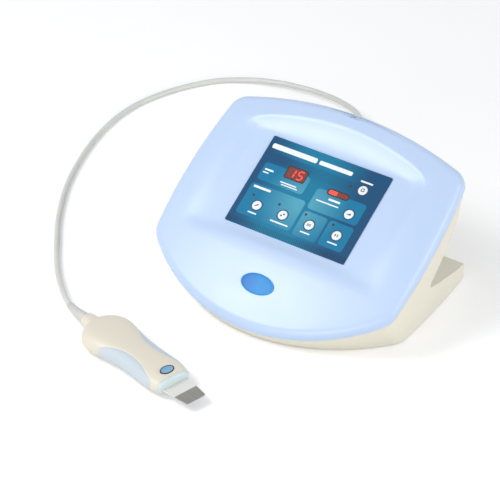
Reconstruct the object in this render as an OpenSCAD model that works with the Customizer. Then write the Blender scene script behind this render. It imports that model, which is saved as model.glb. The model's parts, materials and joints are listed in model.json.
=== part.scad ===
// Desktop ultrasound skin-therapy console with a corded spatula handpiece.
// Millimetres, +Z up, standing on z = 0. The origin is on the table under the keypad's centre.
// +X is to the right of a person facing the sloping face, +Y is towards the back.

/* [Face] */
// Slope of the keypad face from level, degrees
face_tilt = 31; // [27:0.5:35]
// Height of the keypad's centre above the table
face_height = 89; // [80:0.5:107]
// Half of the front cover's greatest width
half_w = 127.5; // [106:0.5:153]
// How far the cover reaches up the slope from the keypad's centre
reach_up = 91.5; // [84:0.5:100]
// How far the cover reaches down the slope
reach_down = 129.5; // [124:0.5:135]
// Radius of the long top edge
top_r = 390; // [300:10:600]
// Radius of the long side edges
side_r = 600; // [450:10:900]
// Radius of the bowed bottom edge
bottom_r = 172; // [160:2:260]
// Radius of the two upper corners
upper_corner_r = 16; // [15:1:22]
// Radius of the two lower corners
lower_corner_r = 22; // [18:1:30]

/* [Front cover] */
// Depth of the cover from the keypad's surface to the seam
cover_depth = 14; // [12:0.5:17]
// Wall of the cover and of the housing
wall = 2.6; // [2.1:0.1:3.2]
// Rounding of the cover's front edge
edge_r = 7; // [5:0.5:8]
// Height of the crowned face over the keypad's surface
crown_h = 6.4; // [5:0.2:8]

/* [Keypad] */
// Keypad panel width
pad_w = 125; // [110:1:140]
// Keypad panel height
pad_h = 91; // [84:1:94]
// Keypad panel thickness
pad_t = 1.2; // [1:0.1:1.6]
// Diameter of a key's cap
key_d = 8.8; // [7.4:0.2:10.6]
// Travel of a key
key_travel = 0.6; // [0.4:0.1:0.7]
// Radial gap between a key and its hole
key_gap = 0.35; // [0.25:0.05:0.45]
// Digit window width
window_w = 21; // [18:0.5:24]
// Digit window height
window_h = 12.5; // [11:0.5:14]

/* [Rear housing and foot] */
// Inward taper of the housing's side, per millimetre of depth
draft = 0.13; // [0.1:0.01:0.13]
// Slope of the housing's back from level, degrees
back_tilt = 42.5; // [40:0.5:46]
// Distance of the notch behind the keypad's centre
notch_y = 3; // [-2:0.5:8]
// Height of the notch
notch_z = 38.5; // [35:0.5:42]
// Fall of the foot's top towards the rear, degrees
foot_fall = 15.7; // [14:0.1:17]
// Distance of the foot's rear end behind the keypad's centre
foot_rear = 90; // [80:1:96]
// Rounding of the foot's rear corners, seen from above
foot_corner_r = 6; // [4:1:10]
// Gap between the housing's lower edge and the table
skirt_gap = 1; // [0.5:0.1:1.2]
// Thickness of the base plate
plate_t = 2.5; // [2:0.1:3]

/* [Lead] */
// Diameter of the handpiece lead
lead_d = 5.5; // [4.6:0.1:6.5]

/* [Handpiece] */
// Greatest half width of the handpiece
hand_half_w = 24.5; // [20.4:0.5:29.4]
// Wall of the handpiece shells
hand_wall = 1.9; // [1.6:0.1:2.2]
// Depth of the side grips
grip_t = 1.3; // [1.1:0.1:1.5]
// Width of the blade at its working edge
blade_w = 20; // [17:0.5:24]
// Thickness of the blade
blade_t = 1; // [0.8:0.1:1.2]
// Diameter of the piezo rings
piezo_d = 10.4; // [8.6:0.1:10.8]

/* [Hidden] */

$fn = 48;
fit = 0.05;          // close fit between pieces of one body
seat = 0.2;          // gap at a butted joint
screw_r = 1.5;       // M3 shaft
head_r = 2.8;        // M3 pan head
head_h = 1.6;

// ---------- shared outline of the cover and housing, in the face's own plane ----------

top_c = [0, reach_up - top_r];
side_c = [half_w - side_r, -18];
bottom_c = [0, bottom_r - reach_down];

// Centre of a circle that touches two others from inside; d1 and d2 are its distances to theirs.
function touching(c1, d1, c2, d2, side) =
    let (d = c2 - c1, l = norm(d), a = (d1*d1 - d2*d2 + l*l) / (2*l), h = sqrt(max(0, d1*d1 - a*a)))
    c1 + a*d/l + side*h*[-d[1], d[0]]/l;
function bearing(c, p) = atan2(p[1] - c[1], p[0] - c[0]);

// Each sample is [centre, radius, bearing], so that the outline keeps true arcs.
function arc_samples(c, r, from, to, n, first) =
    [for (i = [first:n]) [c, r, from + (to - from)*i/n]];

// Right half of the outline moved out by off, from the top's middle to the bottom's middle.
function half_samples(off) =
    let (upper_r = max(upper_corner_r + off, 2), lower_r = max(lower_corner_r + off, 2),
         tr = top_r + off, sr = side_r + off, br = bottom_r + off,
         upper_c = touching(top_c, tr - upper_r, side_c, sr - upper_r, -1),
         lower_c = touching(bottom_c, br - lower_r, side_c, sr - lower_r, 1))
    concat(
        arc_samples(top_c, tr, 90, bearing(top_c, upper_c), 7, 0),
        arc_samples(upper_c, upper_r, bearing(top_c, upper_c), bearing(side_c, upper_c), 5, 1),
        arc_samples(side_c, sr, bearing(side_c, upper_c), bearing(side_c, lower_c), 6, 1),
        arc_samples(lower_c, lower_r, bearing(side_c, lower_c), bearing(bottom_c, lower_c), 6, 1),
        arc_samples(bottom_c, br, bearing(bottom_c, lower_c), -90, 9, 1));

function outline(off) =
    let (half = [for (s = half_samples(off)) s[0] + s[1]*[cos(s[2]), sin(s[2])]])
    concat(half, [for (i = [len(half) - 2:-1:1]) [-half[i][0], half[i][1]]]);

// ---------- surfaces from rings of points ----------

function join_lists(lists) = [for (l = lists) for (x = l) x];

// Quads between neighbouring rings; closed joins the last ring to the first, else both ends are capped.
// A wall is a ring whose second half runs back along the first, so its ends are capped in quads.
module skin(rings, closed = false, walled = false) {
    n = len(rings[0]);
    m = len(rings);
    half = n/2;
    last = closed ? m - 1 : m - 2;
    sides = [for (i = [0:last]) for (j = [0:n - 1])
        [[i*n + j, i*n + (j + 1)%n, ((i + 1)%m)*n + (j + 1)%n],
         [i*n + j, ((i + 1)%m)*n + (j + 1)%n, ((i + 1)%m)*n + j]]];
    discs = [[for (j = [n - 1:-1:0]) j], [for (j = [0:n - 1]) (m - 1)*n + j]];
    strips = [for (j = [0:half - 2]) for (end = [0, 1])
        let (a = j + end*(m - 1)*n, b = a + 1, d = n - 1 - j + end*(m - 1)*n, c = d - 1)
        end == 0 ? [d, c, b, a] : [a, b, c, d]];
    caps = closed ? [] : walled ? strips : discs;
    polyhedron(join_lists(rings), concat(join_lists(sides), caps), convexity = 8);
}

// ---------- frames ----------

// Face frame: x across, y up the slope, z out of the face, origin at the keypad's centre.
module on_face() {
    translate([0, 0, face_height]) rotate([face_tilt, 0, 0]) children();
}

// Back frame: y up the housing's back, -z out of it, origin at the notch's sharp corner.
module on_back() {
    translate([0, notch_y, notch_z]) rotate([back_tilt, 0, 0]) children();
}

// Depth in the face frame of the housing's back, at a height v up the slope.
notch_v = notch_y*cos(face_tilt) + (notch_z - face_height)*sin(face_tilt);
notch_w = -notch_y*sin(face_tilt) + (notch_z - face_height)*cos(face_tilt);
function back_w(v) = notch_w + (v - notch_v)*tan(back_tilt - face_tilt);

// X of the housing's outer side wall at a point of the side view.
function side_x(y, z) =
    let (v = y*cos(face_tilt) + (z - face_height)*sin(face_tilt),
         w = -y*sin(face_tilt) + (z - face_height)*cos(face_tilt))
    side_c[0] + sqrt(side_r*side_r - pow(v - side_c[1], 2)) - draft*(-w - cover_depth);

// ---------- front cover ----------

crown_v = 17;             // height up the slope at which the crown is highest
crown_u_rate = 0.00049;   // fall of the crown across, per square millimetre
crown_v_rate = 0.00053;   // fall of the crown along the slope
recess_half_w = 91;
recess_top = 74;          // highest point of the crescent over the keypad
recess_tip = 55;          // where the crescent ends at the sides
recess_bottom = 51;
floor_half_w = 88;
floor_top = 49;
floor_bottom = 48.5;
opening_half_w = 55;      // opening behind the keypad panel
opening_half_h = 37;
corner_power = 16;        // higher is squarer

function crown(p) = crown_h - crown_u_rate*p[0]*p[0] - crown_v_rate*pow(p[1] - crown_v, 2);

// Where a ray from the keypad's centre towards p meets a box with a bowed top and soft corners.
function soft_min(a, b) = pow(pow(a, -corner_power) + pow(b, -corner_power), -1/corner_power);
function on_crescent(p, hw, up, tip, down) =
    let (d = p/norm(p), side = hw/max(abs(d[0]), 0.001), bow = (up - tip)*pow(d[0]/hw, 2),
         level = d[1] < 0 ? down/max(-d[1], 0.001)
               : bow < 1e-6 ? up/max(d[1], 0.001)
               : (sqrt(d[1]*d[1] + 4*bow*up) - d[1])/(2*bow))
    d*soft_min(side, level);
function mix2(a, b, t) = a + (b - a)*t;
function raise(points, down) = [for (p = points) [p[0], p[1], crown(p) - down]];
function at_w(points, w) = [for (p = points) [p[0], p[1], w]];

edge_steps = 4;
function edge_ring(k, r, in) =
    let (a = 90*k/edge_steps)
    raise(outline(-in - r*(1 - cos(a))), in + r*(1 - sin(a)));

rim = outline(0);
recess_edge = [for (p = rim) on_crescent(p, recess_half_w, recess_top, recess_tip, recess_bottom)];
recess_floor = [for (p = rim) on_crescent(p, floor_half_w, floor_top, floor_top, floor_bottom)];
opening = [for (p = rim) on_crescent(p, opening_half_w, opening_half_h, opening_half_h, opening_half_h)];
face_edge = outline(-edge_r);

module cover_shell() {
    inner_edge = outline(-edge_r - 0.5);
    skin(concat(
        [at_w(rim, -cover_depth)],
        [for (k = [0:edge_steps]) edge_ring(k, edge_r, 0)],
        [for (t = [0.4, 0.75]) raise([for (i = [0:len(rim) - 1]) mix2(face_edge[i], recess_edge[i], t)], 0)],
        [raise(recess_edge, 0), at_w(recess_floor, -pad_t), at_w(opening, -pad_t)],
        [at_w(opening, -pad_t - wall), at_w(recess_floor, -pad_t - wall)],
        [raise([for (p = recess_edge) p*1.015], wall), raise(inner_edge, wall)],
        [for (k = [edge_steps - 1:-2:0]) edge_ring(k, edge_r - wall, wall)],
        [at_w(outline(-wall), -cover_depth)]), closed = true);
}

case_screw_at = [half_w - 23.5, reach_up - 31.5];
cover_boss_r = 4.2;
boss_end = -cover_depth - 1.5;   // the cover's bosses stand a little past the seam

module mirrored() {
    children();
    mirror([1, 0, 0]) children();
}

module front_cover() {
    color("lightsteelblue") on_face() difference() {
        union() {
            cover_shell();
            mirrored() translate([case_screw_at[0], case_screw_at[1], boss_end])
                cylinder(r = cover_boss_r, h = crown(case_screw_at) - wall/2 - boss_end);
        }
        mirrored() translate([case_screw_at[0], case_screw_at[1], boss_end - 1])
            cylinder(r = screw_r + fit, h = 10);
    }
}

// ---------- keypad, windows and keys ----------

key_row_v = -23;
key_column_u = 43;
key_row_u = [-41, -13.5, 14.5, key_column_u];
key_places = [[key_column_u, 25], [key_column_u, -0.5], [key_row_u[0], key_row_v], [key_row_u[1], key_row_v],
              [key_row_u[2], key_row_v], [key_row_u[3], key_row_v]];
dot_places = concat([[key_column_u - 13, 25]], [for (u = key_row_u) [u - 8.2, key_row_v + 8.4]]);
dot_r = 1;
window_at = [-22.5, 17.3];
bar_at = [24.2, 13.3];
bar_w = 22;
bar_h = 6;

board_t = 1.6;
board_top = -pad_t - wall - 4.2;       // front face of the control board
board_w = 128;
board_h = 80;
spacer_at = [board_w/2 - 4.5, board_h/2 - 5];

cap_rise = 0.5;
flange_t = 0.8;
flange_top = -pad_t - 0.2;
stem_r = 1.5;
switch_h = 2.6;
switch_w = 6;

module slab(size, at, top) {
    translate([at[0] - size[0]/2, at[1] - size[1]/2, top - size[2]]) cube(size);
}

module keypad_panel() {
    color("teal") on_face() difference() {
        slab([pad_w, pad_h, pad_t], [0, 0], 0);
        for (k = key_places) translate([k[0], k[1], -pad_t - 1]) cylinder(d = key_d + 2*key_gap, h = pad_t + 2);
        for (k = dot_places) translate([k[0], k[1], -pad_t - 1]) cylinder(r = dot_r + fit, h = pad_t + 2);
        slab([window_w + 2*fit, window_h + 2*fit, pad_t + 2], window_at, 1);
        slab([bar_w + 2*fit, bar_h + 2*fit, pad_t + 2], bar_at, 1);
    }
}

module key(at) {
    stem_end = board_top + switch_h - 0.9;
    color("white") on_face() translate([at[0], at[1], 0]) {
        translate([0, 0, flange_top - flange_t]) cylinder(d = key_d + 2*key_gap + 1.8, h = flange_t);
        translate([0, 0, flange_top]) cylinder(d = key_d, h = cap_rise - flange_top);
        translate([0, 0, stem_end]) cylinder(r = stem_r, h = flange_top - flange_t - stem_end);
    }
}

module key_on_off() { key(key_places[0]); }
module key_power() { key(key_places[1]); }
module key_program_a() { key(key_places[2]); }
module key_program_b() { key(key_places[3]); }
module key_pulse() { key(key_places[4]); }
module key_pause() { key(key_places[5]); }

module digit_window() {
    color("darkred") on_face() slab([window_w, window_h, pad_t], window_at, 0);
}

module bar_window() {
    color("darkred") on_face() slab([bar_w, bar_h, pad_t], bar_at, 0);
}

module indicator_lenses() {
    color("dimgray") on_face() for (k = dot_places) translate([k[0], k[1], board_top])
        cylinder(r = dot_r, h = -board_top);
}

badge_at = [0, -91];

module console_badge() {
    rise = 0.9;
    color("dodgerblue") on_face() translate([badge_at[0], badge_at[1], crown(badge_at) + 0.3])
        rotate([4, 0, 0]) linear_extrude(rise) scale([1.675, 1]) circle(r = 10);
}

module digit_display() {
    color("black") on_face() difference() {
        slab([window_w + 1, window_h + 1.5, -pad_t - fit - board_top], window_at, -pad_t - fit);
        // two sets of seven segments, sunk in the face
        for (digit = [-1, 1]) translate([window_at[0] + digit*4.6, window_at[1], -pad_t - fit - 0.4])
            for (v = [-4, 0, 4]) translate([-1.8, v - 0.4, 0]) cube([3.6, 0.8, 1]);
    }
}

module bar_display() {
    color("black") on_face() difference() {
        slab([bar_w + 1, bar_h + 1, -pad_t - fit - board_top], bar_at, -pad_t - fit);
        for (i = [0:9]) translate([bar_at[0] - bar_w/2 + 2 + i*2, bar_at[1] - 1.8, -pad_t - fit - 0.4])
            cube([1.2, 3.6, 1]);
    }
}

module key_switches() {
    color("gray") on_face() for (k = key_places) difference() {
        slab([switch_w, switch_w, switch_h], k, board_top + switch_h);
        translate([k[0], k[1], board_top + 0.6]) cylinder(r = stem_r + 0.15, h = switch_h);
    }
}

module control_board() {
    color("darkgreen") on_face() difference() {
        slab([board_w, board_h, board_t], [0, 0], board_top);
        for (x = [-1, 1], y = [-1, 1]) translate([x*spacer_at[0], y*spacer_at[1], board_top - board_t - 1])
            cylinder(r = screw_r + fit, h = board_t + 2);
    }
}

module board_spacers() {
    spacer_top = -pad_t - wall;
    color("silver") on_face() for (x = [-1, 1], y = [-1, 1])
        translate([x*spacer_at[0], y*spacer_at[1], board_top]) difference() {
            cylinder(r = 3, h = spacer_top - board_top);
            translate([0, 0, -1]) cylinder(r = screw_r + fit, h = spacer_top - board_top);
        }
}

module screw(shaft) {
    cylinder(r = screw_r, h = shaft);
    difference() {
        translate([0, 0, -head_h]) cylinder(r = head_r, h = head_h);
        translate([-2, -0.35, -head_h - 1]) cube([4, 0.7, 1.6]);
        translate([-0.35, -2, -head_h - 1]) cube([0.7, 4, 1.6]);
    }
}

module board_screws() {
    color("silver") on_face() for (x = [-1, 1], y = [-1, 1])
        translate([x*spacer_at[0], y*spacer_at[1], board_top - board_t]) screw(board_t + 2.8);
}

module buzzer() {
    color("black") on_face() translate([-46, 25, board_top - board_t - 6]) difference() {
        cylinder(r = 6, h = 6);
        translate([0, 0, -1]) cylinder(r = 1, h = 3);
    }
}

// ---------- driver board and what stands on it ----------

driver_top = -20;
driver_at = [0, 23];
driver_size = [2*half_w - 85, 84, 1.6];
driver_post_at = [driver_size[0]/2 - 5, driver_size[1]/2 - 5];
driver_back = driver_top - driver_size[2];

module board_connector() {
    gap = board_top - board_t - driver_top;
    color("ivory") on_face() slab([24, 6, gap], [0, 8], board_top - board_t);
}

module driver_places() {
    for (x = [-1, 1], y = [-1, 1]) translate([driver_at[0] + x*driver_post_at[0], driver_at[1] + y*driver_post_at[1], 0])
        children();
}

module driver_board() {
    color("darkgreen") on_face() difference() {
        slab(driver_size, driver_at, driver_top);
        driver_places() translate([0, 0, driver_back - 1]) cylinder(r = screw_r + fit, h = 5);
    }
}

module driver_screws() {
    color("silver") on_face() driver_places() translate([0, 0, driver_top]) mirror([0, 0, 1]) screw(5);
}

module under_driver(at, depth) {
    on_face() translate([at[0], at[1], driver_back - depth]) children();
}

module output_transformer() {
    depth = 11;
    color("goldenrod") under_driver([-35, 2], depth) difference() {
        translate([-13, -11, 0]) cube([26, 22, depth]);
        translate([-9, -12, 3]) cube([18, 4, depth - 6]);
        translate([-9, 8, 3]) cube([18, 4, depth - 6]);
    }
}

module supply_coil() {
    depth = 9;
    color("orangered") under_driver([8, 0], depth) difference() {
        cylinder(r = 10, h = depth);
        translate([0, 0, -1]) cylinder(r = 4, h = depth + 2);
    }
}

module capacitors() {
    color("midnightblue") for (i = [0:2]) under_driver([28 + i*11, -4], 12) cylinder(r = 4.5, h = 12);
}

module heatsink() {
    depth = 7;
    color("silver") under_driver([0, 30], depth) difference() {
        translate([-40, -8, 0]) cube([80, 16, depth]);
        for (i = [0:8]) translate([-36.5 + i*8.5, -9, -1]) cube([5, 18, depth - 1]);
    }
}

module heatsink_transistors() {
    color("black") for (x = [-1, 1]) under_driver([x*25, 18.5], 5) translate([-5, -3, 0]) cube([10, 6, 5]);
}

module lead_terminal() {
    color("green") under_driver([15 - driver_size[0]/2, 22], 8) difference() {
        translate([-8, -5, 0]) cube([16, 10, 8]);
        for (x = [-5, 0, 5]) translate([x, 0, -1]) cylinder(r = 1.6, h = 4);
    }
}

// ---------- rear housing with its foot ----------

base_z = skirt_gap;
opening_half = (back_tilt + foot_fall)/2;
notch_in = [notch_y, notch_z];
notch_fillet = 5;
notch_c = notch_in + notch_fillet/sin(opening_half)*[cos(back_tilt - opening_half), sin(back_tilt - opening_half)];
foot_spare = notch_z - base_z - (foot_rear - notch_y)*tan(foot_fall);
foot_end_r = foot_spare*cos(foot_fall)/(1 + cos(foot_fall) - sin(foot_fall));
foot_end_c = [foot_rear - foot_end_r, base_z + foot_end_r];
prism_depth = foot_rear*sin(face_tilt) + face_height*cos(face_tilt) - cover_depth + 3.4;

// Side view of the housing, taken in by a margin; low sinks its underside.
function side_view(in, low) =
    let (back_dir = [cos(back_tilt), sin(back_tilt)], back_in = [-sin(back_tilt), cos(back_tilt)],
         back_start = notch_c + (notch_fillet + in)*back_in)
    concat(
        [[-170, base_z - low], [foot_end_c[0], base_z - low]],
        [for (a = [-78:12:84 - foot_fall]) foot_end_c + (foot_end_r - in)*[cos(a), sin(a)]],
        [foot_end_c + (foot_end_r - in)*[sin(foot_fall), cos(foot_fall)]],
        [for (i = [0:8]) let (a = 270 - foot_fall + (back_tilt + 90 - 270 + foot_fall)*i/8)
            notch_c + (notch_fillet + in)*[cos(a), sin(a)]],
        [back_start + 170*back_dir, [-170, back_start[1] + 170*back_dir[1]]]);

module along_x(half) {
    rotate([90, 0, 90]) translate([0, 0, -half]) linear_extrude(2*half) children();
}

// The outline carried back from the seam with its taper.
module tapered(in, from) {
    on_face() skin([at_w(outline(-in - draft*prism_depth), -cover_depth - prism_depth),
                    at_w(outline(-in - draft*(from - cover_depth)), -from)]);
}

// Plan of the foot's rear end, whose corners are round; further forward it stays clear of the sides.
function plan_view(in) =
    let (r = foot_corner_r, c = [side_x(foot_rear, foot_end_r) - r, foot_rear - r],
         half = concat([for (a = [90:-10:0]) c + (r - in)*[cos(a), sin(a)]],
                       [[c[0] + r + 12, c[1] - 40], [c[0] + r + 25, -170]]))
    concat(half, [for (i = [len(half) - 1:-1:0]) [-half[i][0], half[i][1]]]);

module housing_form(in, from, low) {
    intersection() {
        tapered(in, from);
        along_x(half_w + 10) polygon(side_view(in, low));
        translate([0, 0, -20]) linear_extrude(200) polygon(plan_view(in));
    }
}

plate_bottom = base_z + 0.5;
plate_top = plate_bottom + plate_t;
base_boss_at = [[98, -20], [99, 60]];
base_boss_r = 4.5;
base_boss_h = 8;

module at_base_bosses() {
    for (p = base_boss_at) mirrored() translate([p[0] + half_w - 127.5, p[1], 0]) children();
}

module base_bosses() {
    at_base_bosses() translate([0, 0, plate_top]) cylinder(r = base_boss_r, h = base_boss_h);
    for (p = base_boss_at) mirrored() {
        x = p[0] + half_w - 127.5;
        translate([x, p[1] - 1.2, plate_top]) cube([side_x(p[1], plate_top) - wall/2 - x, 2.4, base_boss_h]);
    }
}

gland_at = [-45, 60];      // across, and up the back
jack_at = [62, 54];
gland_r = 6.5;
jack_r = 5.5;

module rear_housing() {
    outer = back_w(case_screw_at[1]);
    color("beige") difference() {
        union() {
            difference() {
                housing_form(0, cover_depth, 0);
                housing_form(wall, cover_depth - 1, 5);
            }
            base_bosses();
            on_face() {
                mirrored() translate([case_screw_at[0], case_screw_at[1], outer + wall/2])
                    cylinder(r = cover_boss_r + 0.6, h = boss_end - seat - outer - wall/2);
                for (x = [-1, 1], y = [-1, 1]) {
                    v = driver_at[1] + y*driver_post_at[1];
                    translate([driver_at[0] + x*driver_post_at[0], v, back_w(v) + wall/2])
                        cylinder(r = 3.2, h = driver_back - back_w(v) - wall/2);
                }
            }
        }
        on_face() {
            mirrored() translate([case_screw_at[0], case_screw_at[1], outer - 3]) {
                cylinder(r = screw_r + 0.2, h = 30);
                cylinder(r = head_r + 0.4, h = 3 + wall + 1.4);
            }
            driver_places() translate([0, 0, driver_back - 4]) cylinder(r = screw_r + fit, h = 5);
        }
        at_base_bosses() translate([0, 0, plate_top - 1]) cylinder(r = screw_r + fit, h = base_boss_h);
        on_back() {
            translate([gland_at[0], gland_at[1], -5]) cylinder(r = gland_r - 1.5, h = 12);
            translate([jack_at[0], jack_at[1], -5]) cylinder(r = jack_r, h = 12);
        }
    }
}

module case_screws() {
    seat_w = back_w(case_screw_at[1]) + wall + 1.4;
    color("silver") on_face() mirrored() translate([case_screw_at[0], case_screw_at[1], seat_w])
        screw(boss_end - seat_w + 8);
}

module base_plate() {
    color("beige") difference() {
        intersection() {
            housing_form(wall + 0.3, cover_depth, 5);
            translate([-200, -200, plate_bottom]) cube([400, 400, plate_t]);
        }
        at_base_bosses() cylinder(r = screw_r + 0.2, h = 10);
    }
}

module base_screws() {
    color("silver") at_base_bosses() translate([0, 0, plate_bottom]) intersection() {
        screw(plate_t + 6);
        translate([-5, -5, -1.2]) cube([10, 10, 20]);
    }
}

foot_at = [[84, -50], [84, 68]];
foot_pad_r = 7.5;

module foot_pad() {
    cylinder(r1 = foot_pad_r - 0.5, r2 = foot_pad_r, h = 0.5);
    translate([0, 0, 0.5]) cylinder(r = foot_pad_r, h = plate_bottom - 0.5);
}

// Four feet near the corners, and one in the middle that takes the push on the keys.
module rubber_feet() {
    color("dimgray") {
        for (p = foot_at) mirrored() translate([p[0] + half_w - 127.5, p[1], 0]) foot_pad();
        foot_pad();
    }
}

// ---------- power jack and the lead's way out ----------

module power_jack() {
    color("black") on_back() translate([jack_at[0], jack_at[1], 0]) difference() {
        union() {
            translate([0, 0, -1.5]) cylinder(r = jack_r + 2, h = 1.5);
            cylinder(r = jack_r - fit, h = 11);
        }
        translate([0, 0, -2]) cylinder(r = 2.8, h = 11);
    }
}

module jack_nut() {
    color("silver") on_back() translate([jack_at[0], jack_at[1], wall]) difference() {
        cylinder(r = jack_r + 2.5, h = 2, $fn = 6);
        translate([0, 0, -1]) cylinder(r = jack_r, h = 4);
    }
}

gland_h = 4;
boot_l = 26;

module lead_gland() {
    color("lightgray") on_back() translate([gland_at[0], gland_at[1], 0]) difference() {
        union() {
            translate([0, 0, -gland_h]) cylinder(r = gland_r, h = gland_h);
            cylinder(r = gland_r - 1.5 - fit, h = wall + 3);
        }
        translate([0, 0, -gland_h - 1]) cylinder(d = lead_d + 0.2, h = 20);
    }
}

module console_boot() {
    color("silver") on_back() translate([gland_at[0], gland_at[1], -gland_h - boot_l]) difference() {
        cylinder(r1 = lead_d/2 + 1.1, r2 = gland_r - 1.2, h = boot_l);
        for (i = [1:4]) translate([0, 0, i*5 - 1]) difference() {
            cylinder(r = 10, h = 1.6);
            translate([0, 0, -1]) cylinder(r = lead_d/2 + 0.9, h = 4);
        }
        translate([0, 0, boot_l - 4]) cylinder(d = lead_d + 0.2, h = 5);
    }
}

// Route of the lead's centreline, from the console's boot to the handpiece's boot.
lead_points = [
    [-45, 67.6, 56.2], [-45, 76, 47.2], [-46, 90, 36.5], [-48, 108, 28.5], [-52, 130, 23], [-58, 154, 19.5],
    [-65, 178, 17], [-74, 203, 15], [-85, 225, 13.8], [-97, 241, 13], [-111, 254, 12.3], [-128, 262, 11.3],
    [-146, 267, 10.3], [-162, 269, 9.4], [-177, 270, 8.5], [-192, 269, 7.6], [-206, 268, 6.7], [-219, 265, 5.8],
    [-231, 262, 4.9], [-243, 257, 4], [-254, 251, 3.2], [-265, 243, 2.8], [-274, 233, 2.8], [-283, 220, 2.8],
    [-291, 206, 2.8], [-298, 190, 2.8], [-304, 172, 2.8], [-308, 152, 2.8], [-309, 130, 2.8], [-307, 107, 2.8],
    [-302, 81, 2.8], [-294, 53, 2.8], [-284, 25, 2.8], [-271, -4, 2.8], [-256, -31, 2.8], [-240, -56, 2.8],
    [-222, -80, 2.8], [-205, -102, 2.8], [-188, -121, 2.9], [-172, -136.5, 4], [-157.5, -149.5, 6],
    [-145, -158.2, 7.8]];

function smooth_at(a, b, c, d, t) =
    0.5*(2*b + (c - a)*t + (2*a - 5*b + 4*c - d)*t*t + (3*b - a - 3*c + d)*t*t*t);
function smooth_path(p) = concat(
    [for (i = [0:len(p) - 2]) for (t = (norm(p[i + 1] - p[i]) > 17 ? [0, 0.5] : [0]))
        smooth_at(p[max(i - 1, 0)], p[i], p[i + 1], p[min(i + 2, len(p) - 1)], t)],
    [p[len(p) - 1]]);

// Rings of a round bar along a path, each square to the path.
function tube_rings(path, radii, sides) =
    [for (i = [0:len(path) - 1])
        let (t = path[min(i + 1, len(path) - 1)] - path[max(i - 1, 0)], f = t/norm(t),
             s0 = cross(f, [0, 0, 1]), s = s0/norm(s0), u = cross(s, f))
        [for (j = [0:sides - 1]) path[i] + radii[i]*(cos(360*j/sides)*s + sin(360*j/sides)*u)]];

module lead() {
    path = smooth_path(lead_points);
    color("lightgray") skin(tube_rings(path, [for (p = path) lead_d/2], 10));
}

// ---------- handpiece: lies on the table in front, to the left ----------

hand_tail = [-117, -170];
hand_turn = -14;
hand_mid_z = 10.5;

module on_hand() {
    translate([hand_tail[0], hand_tail[1], hand_mid_z]) rotate([0, 0, hand_turn]) children();
}

boot_points = [[-144.6, -158.42, 7.86], [-138, -162.2, 8.9], [-131.5, -165.5, 9.8], [-125, -167.8, 10.3],
               [-117.5, -169.9, 10.5]];

module handpiece_boot() {
    radii = [lead_d/2 + 0.5, lead_d/2 + 1, lead_d/2 + 1.7, lead_d/2 + 2.4, lead_d/2 + 2.9];
    color("silver") skin(tube_rings(boot_points, radii, 12));
}

// Stations along the handpiece: distance from the tail, half width, height over and under the seam.
stations = [
    [0, 6.6, 6.2, 6.4], [4, 7.2, 6.6, 6.9], [8, 7.4, 6.9, 7.4], [11, 9.2, 7.6, 8.4], [13.5, 14.5, 8.6, 9.4],
    [17, 19.2, 9.4, 10.1], [22, 22.6, 10, 10.5], [28, 24.3, 10.4, 10.5], [34, 24.4, 10.5, 10.5],
    [41, 23.3, 10.5, 10.5], [46, 22.2, 10.4, 10.5], [52, 21, 10.3, 10.5], [59, 19.8, 10.1, 10.5],
    [67, 19, 9.9, 10.5], [76, 18.8, 9.6, 10.5], [85, 19, 9.2, 10.5], [94, 19.5, 8.8, 10.5],
    [101, 19.7, 8.4, 10.3], [107, 19.3, 7.9, 9.8], [111, 18.6, 7.5, 9.4], [114.5, 17.8, 7, 9]];
grip_first = 10;
grip_last = 18;
grip_middle_x = 77;
grip_half_l = 33;
band = 5;                 // points of a quarter section that the grip covers
quarter = 9;
section_power = 0.77;     // squareness of the section
hand_scale = hand_half_w/24.5;

// Reach of the grip round the section, in degrees from the seam.
function grip_reach(x, most) =
    8 + (most - 8)*pow(max(0, 1 - pow((x - grip_middle_x)/grip_half_l, 2)), 0.6);
function turn_at(x, j, most) =
    let (g = grip_reach(x, most)) j <= band ? g*j/band : g + (90 - g)*(j - band)/(quarter - band);
function section_point(x, a, h, turn) =
    [x, a*pow(cos(turn), section_power), h*pow(sin(turn), section_power)];
function in_grip(i, j) = i > grip_first && i < grip_last && j < band;

// Half section over (up = 1) or under (up = -1) the seam, near side first.
function half_section(i, up, in, grip_in) =
    let (s = stations[i], most = up > 0 ? 65 : 45, h = up > 0 ? s[2] : s[3])
    [for (k = [0:2*quarter])
        let (j = k <= quarter ? k : 2*quarter - k, cut = in + (in_grip(i, j) ? grip_in : 0),
             p = section_point(s[0], s[1]*hand_scale - cut, h - cut, turn_at(s[0], j, most)))
        [p[0], k <= quarter ? -p[1] : p[1], up*p[2]]];

shell_in = hand_wall + grip_t;

module half_shell(up) {
    rings = [for (i = [0:len(stations) - 1])
        let (outer = half_section(i, up, 0, grip_t), inner = half_section(i, up, shell_in, 0))
        concat(outer, [for (k = [2*quarter:-1:0]) inner[k]])];
    skin(up > 0 ? rings : [for (r = rings) [for (k = [len(r) - 1:-1:0]) r[k]]], walled = true);
}

shell_screw_at = [27, 12];
shell_boss_r = 3;

module shell_bosses() {
    for (y = [-1, 1]) translate([shell_screw_at[0], y*shell_screw_at[1], 0]) children();
}

module upper_shell() {
    color("antiquewhite") on_hand() difference() {
        union() {
            half_shell(1);
            shell_bosses() cylinder(r = shell_boss_r, h = 8.3);
        }
        shell_bosses() translate([0, 0, -1]) cylinder(r = 1.05, h = 7);
    }
}

module lower_shell() {
    color("antiquewhite") on_hand() difference() {
        union() {
            half_shell(-1);
            shell_bosses() translate([0, 0, -8.6]) cylinder(r = shell_boss_r, h = 8.4);
        }
        shell_bosses() {
            translate([0, 0, -12]) cylinder(r = 1.3, h = 13);
            translate([0, 0, -12]) cylinder(r = 2.2, h = 5);
        }
    }
}

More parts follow.
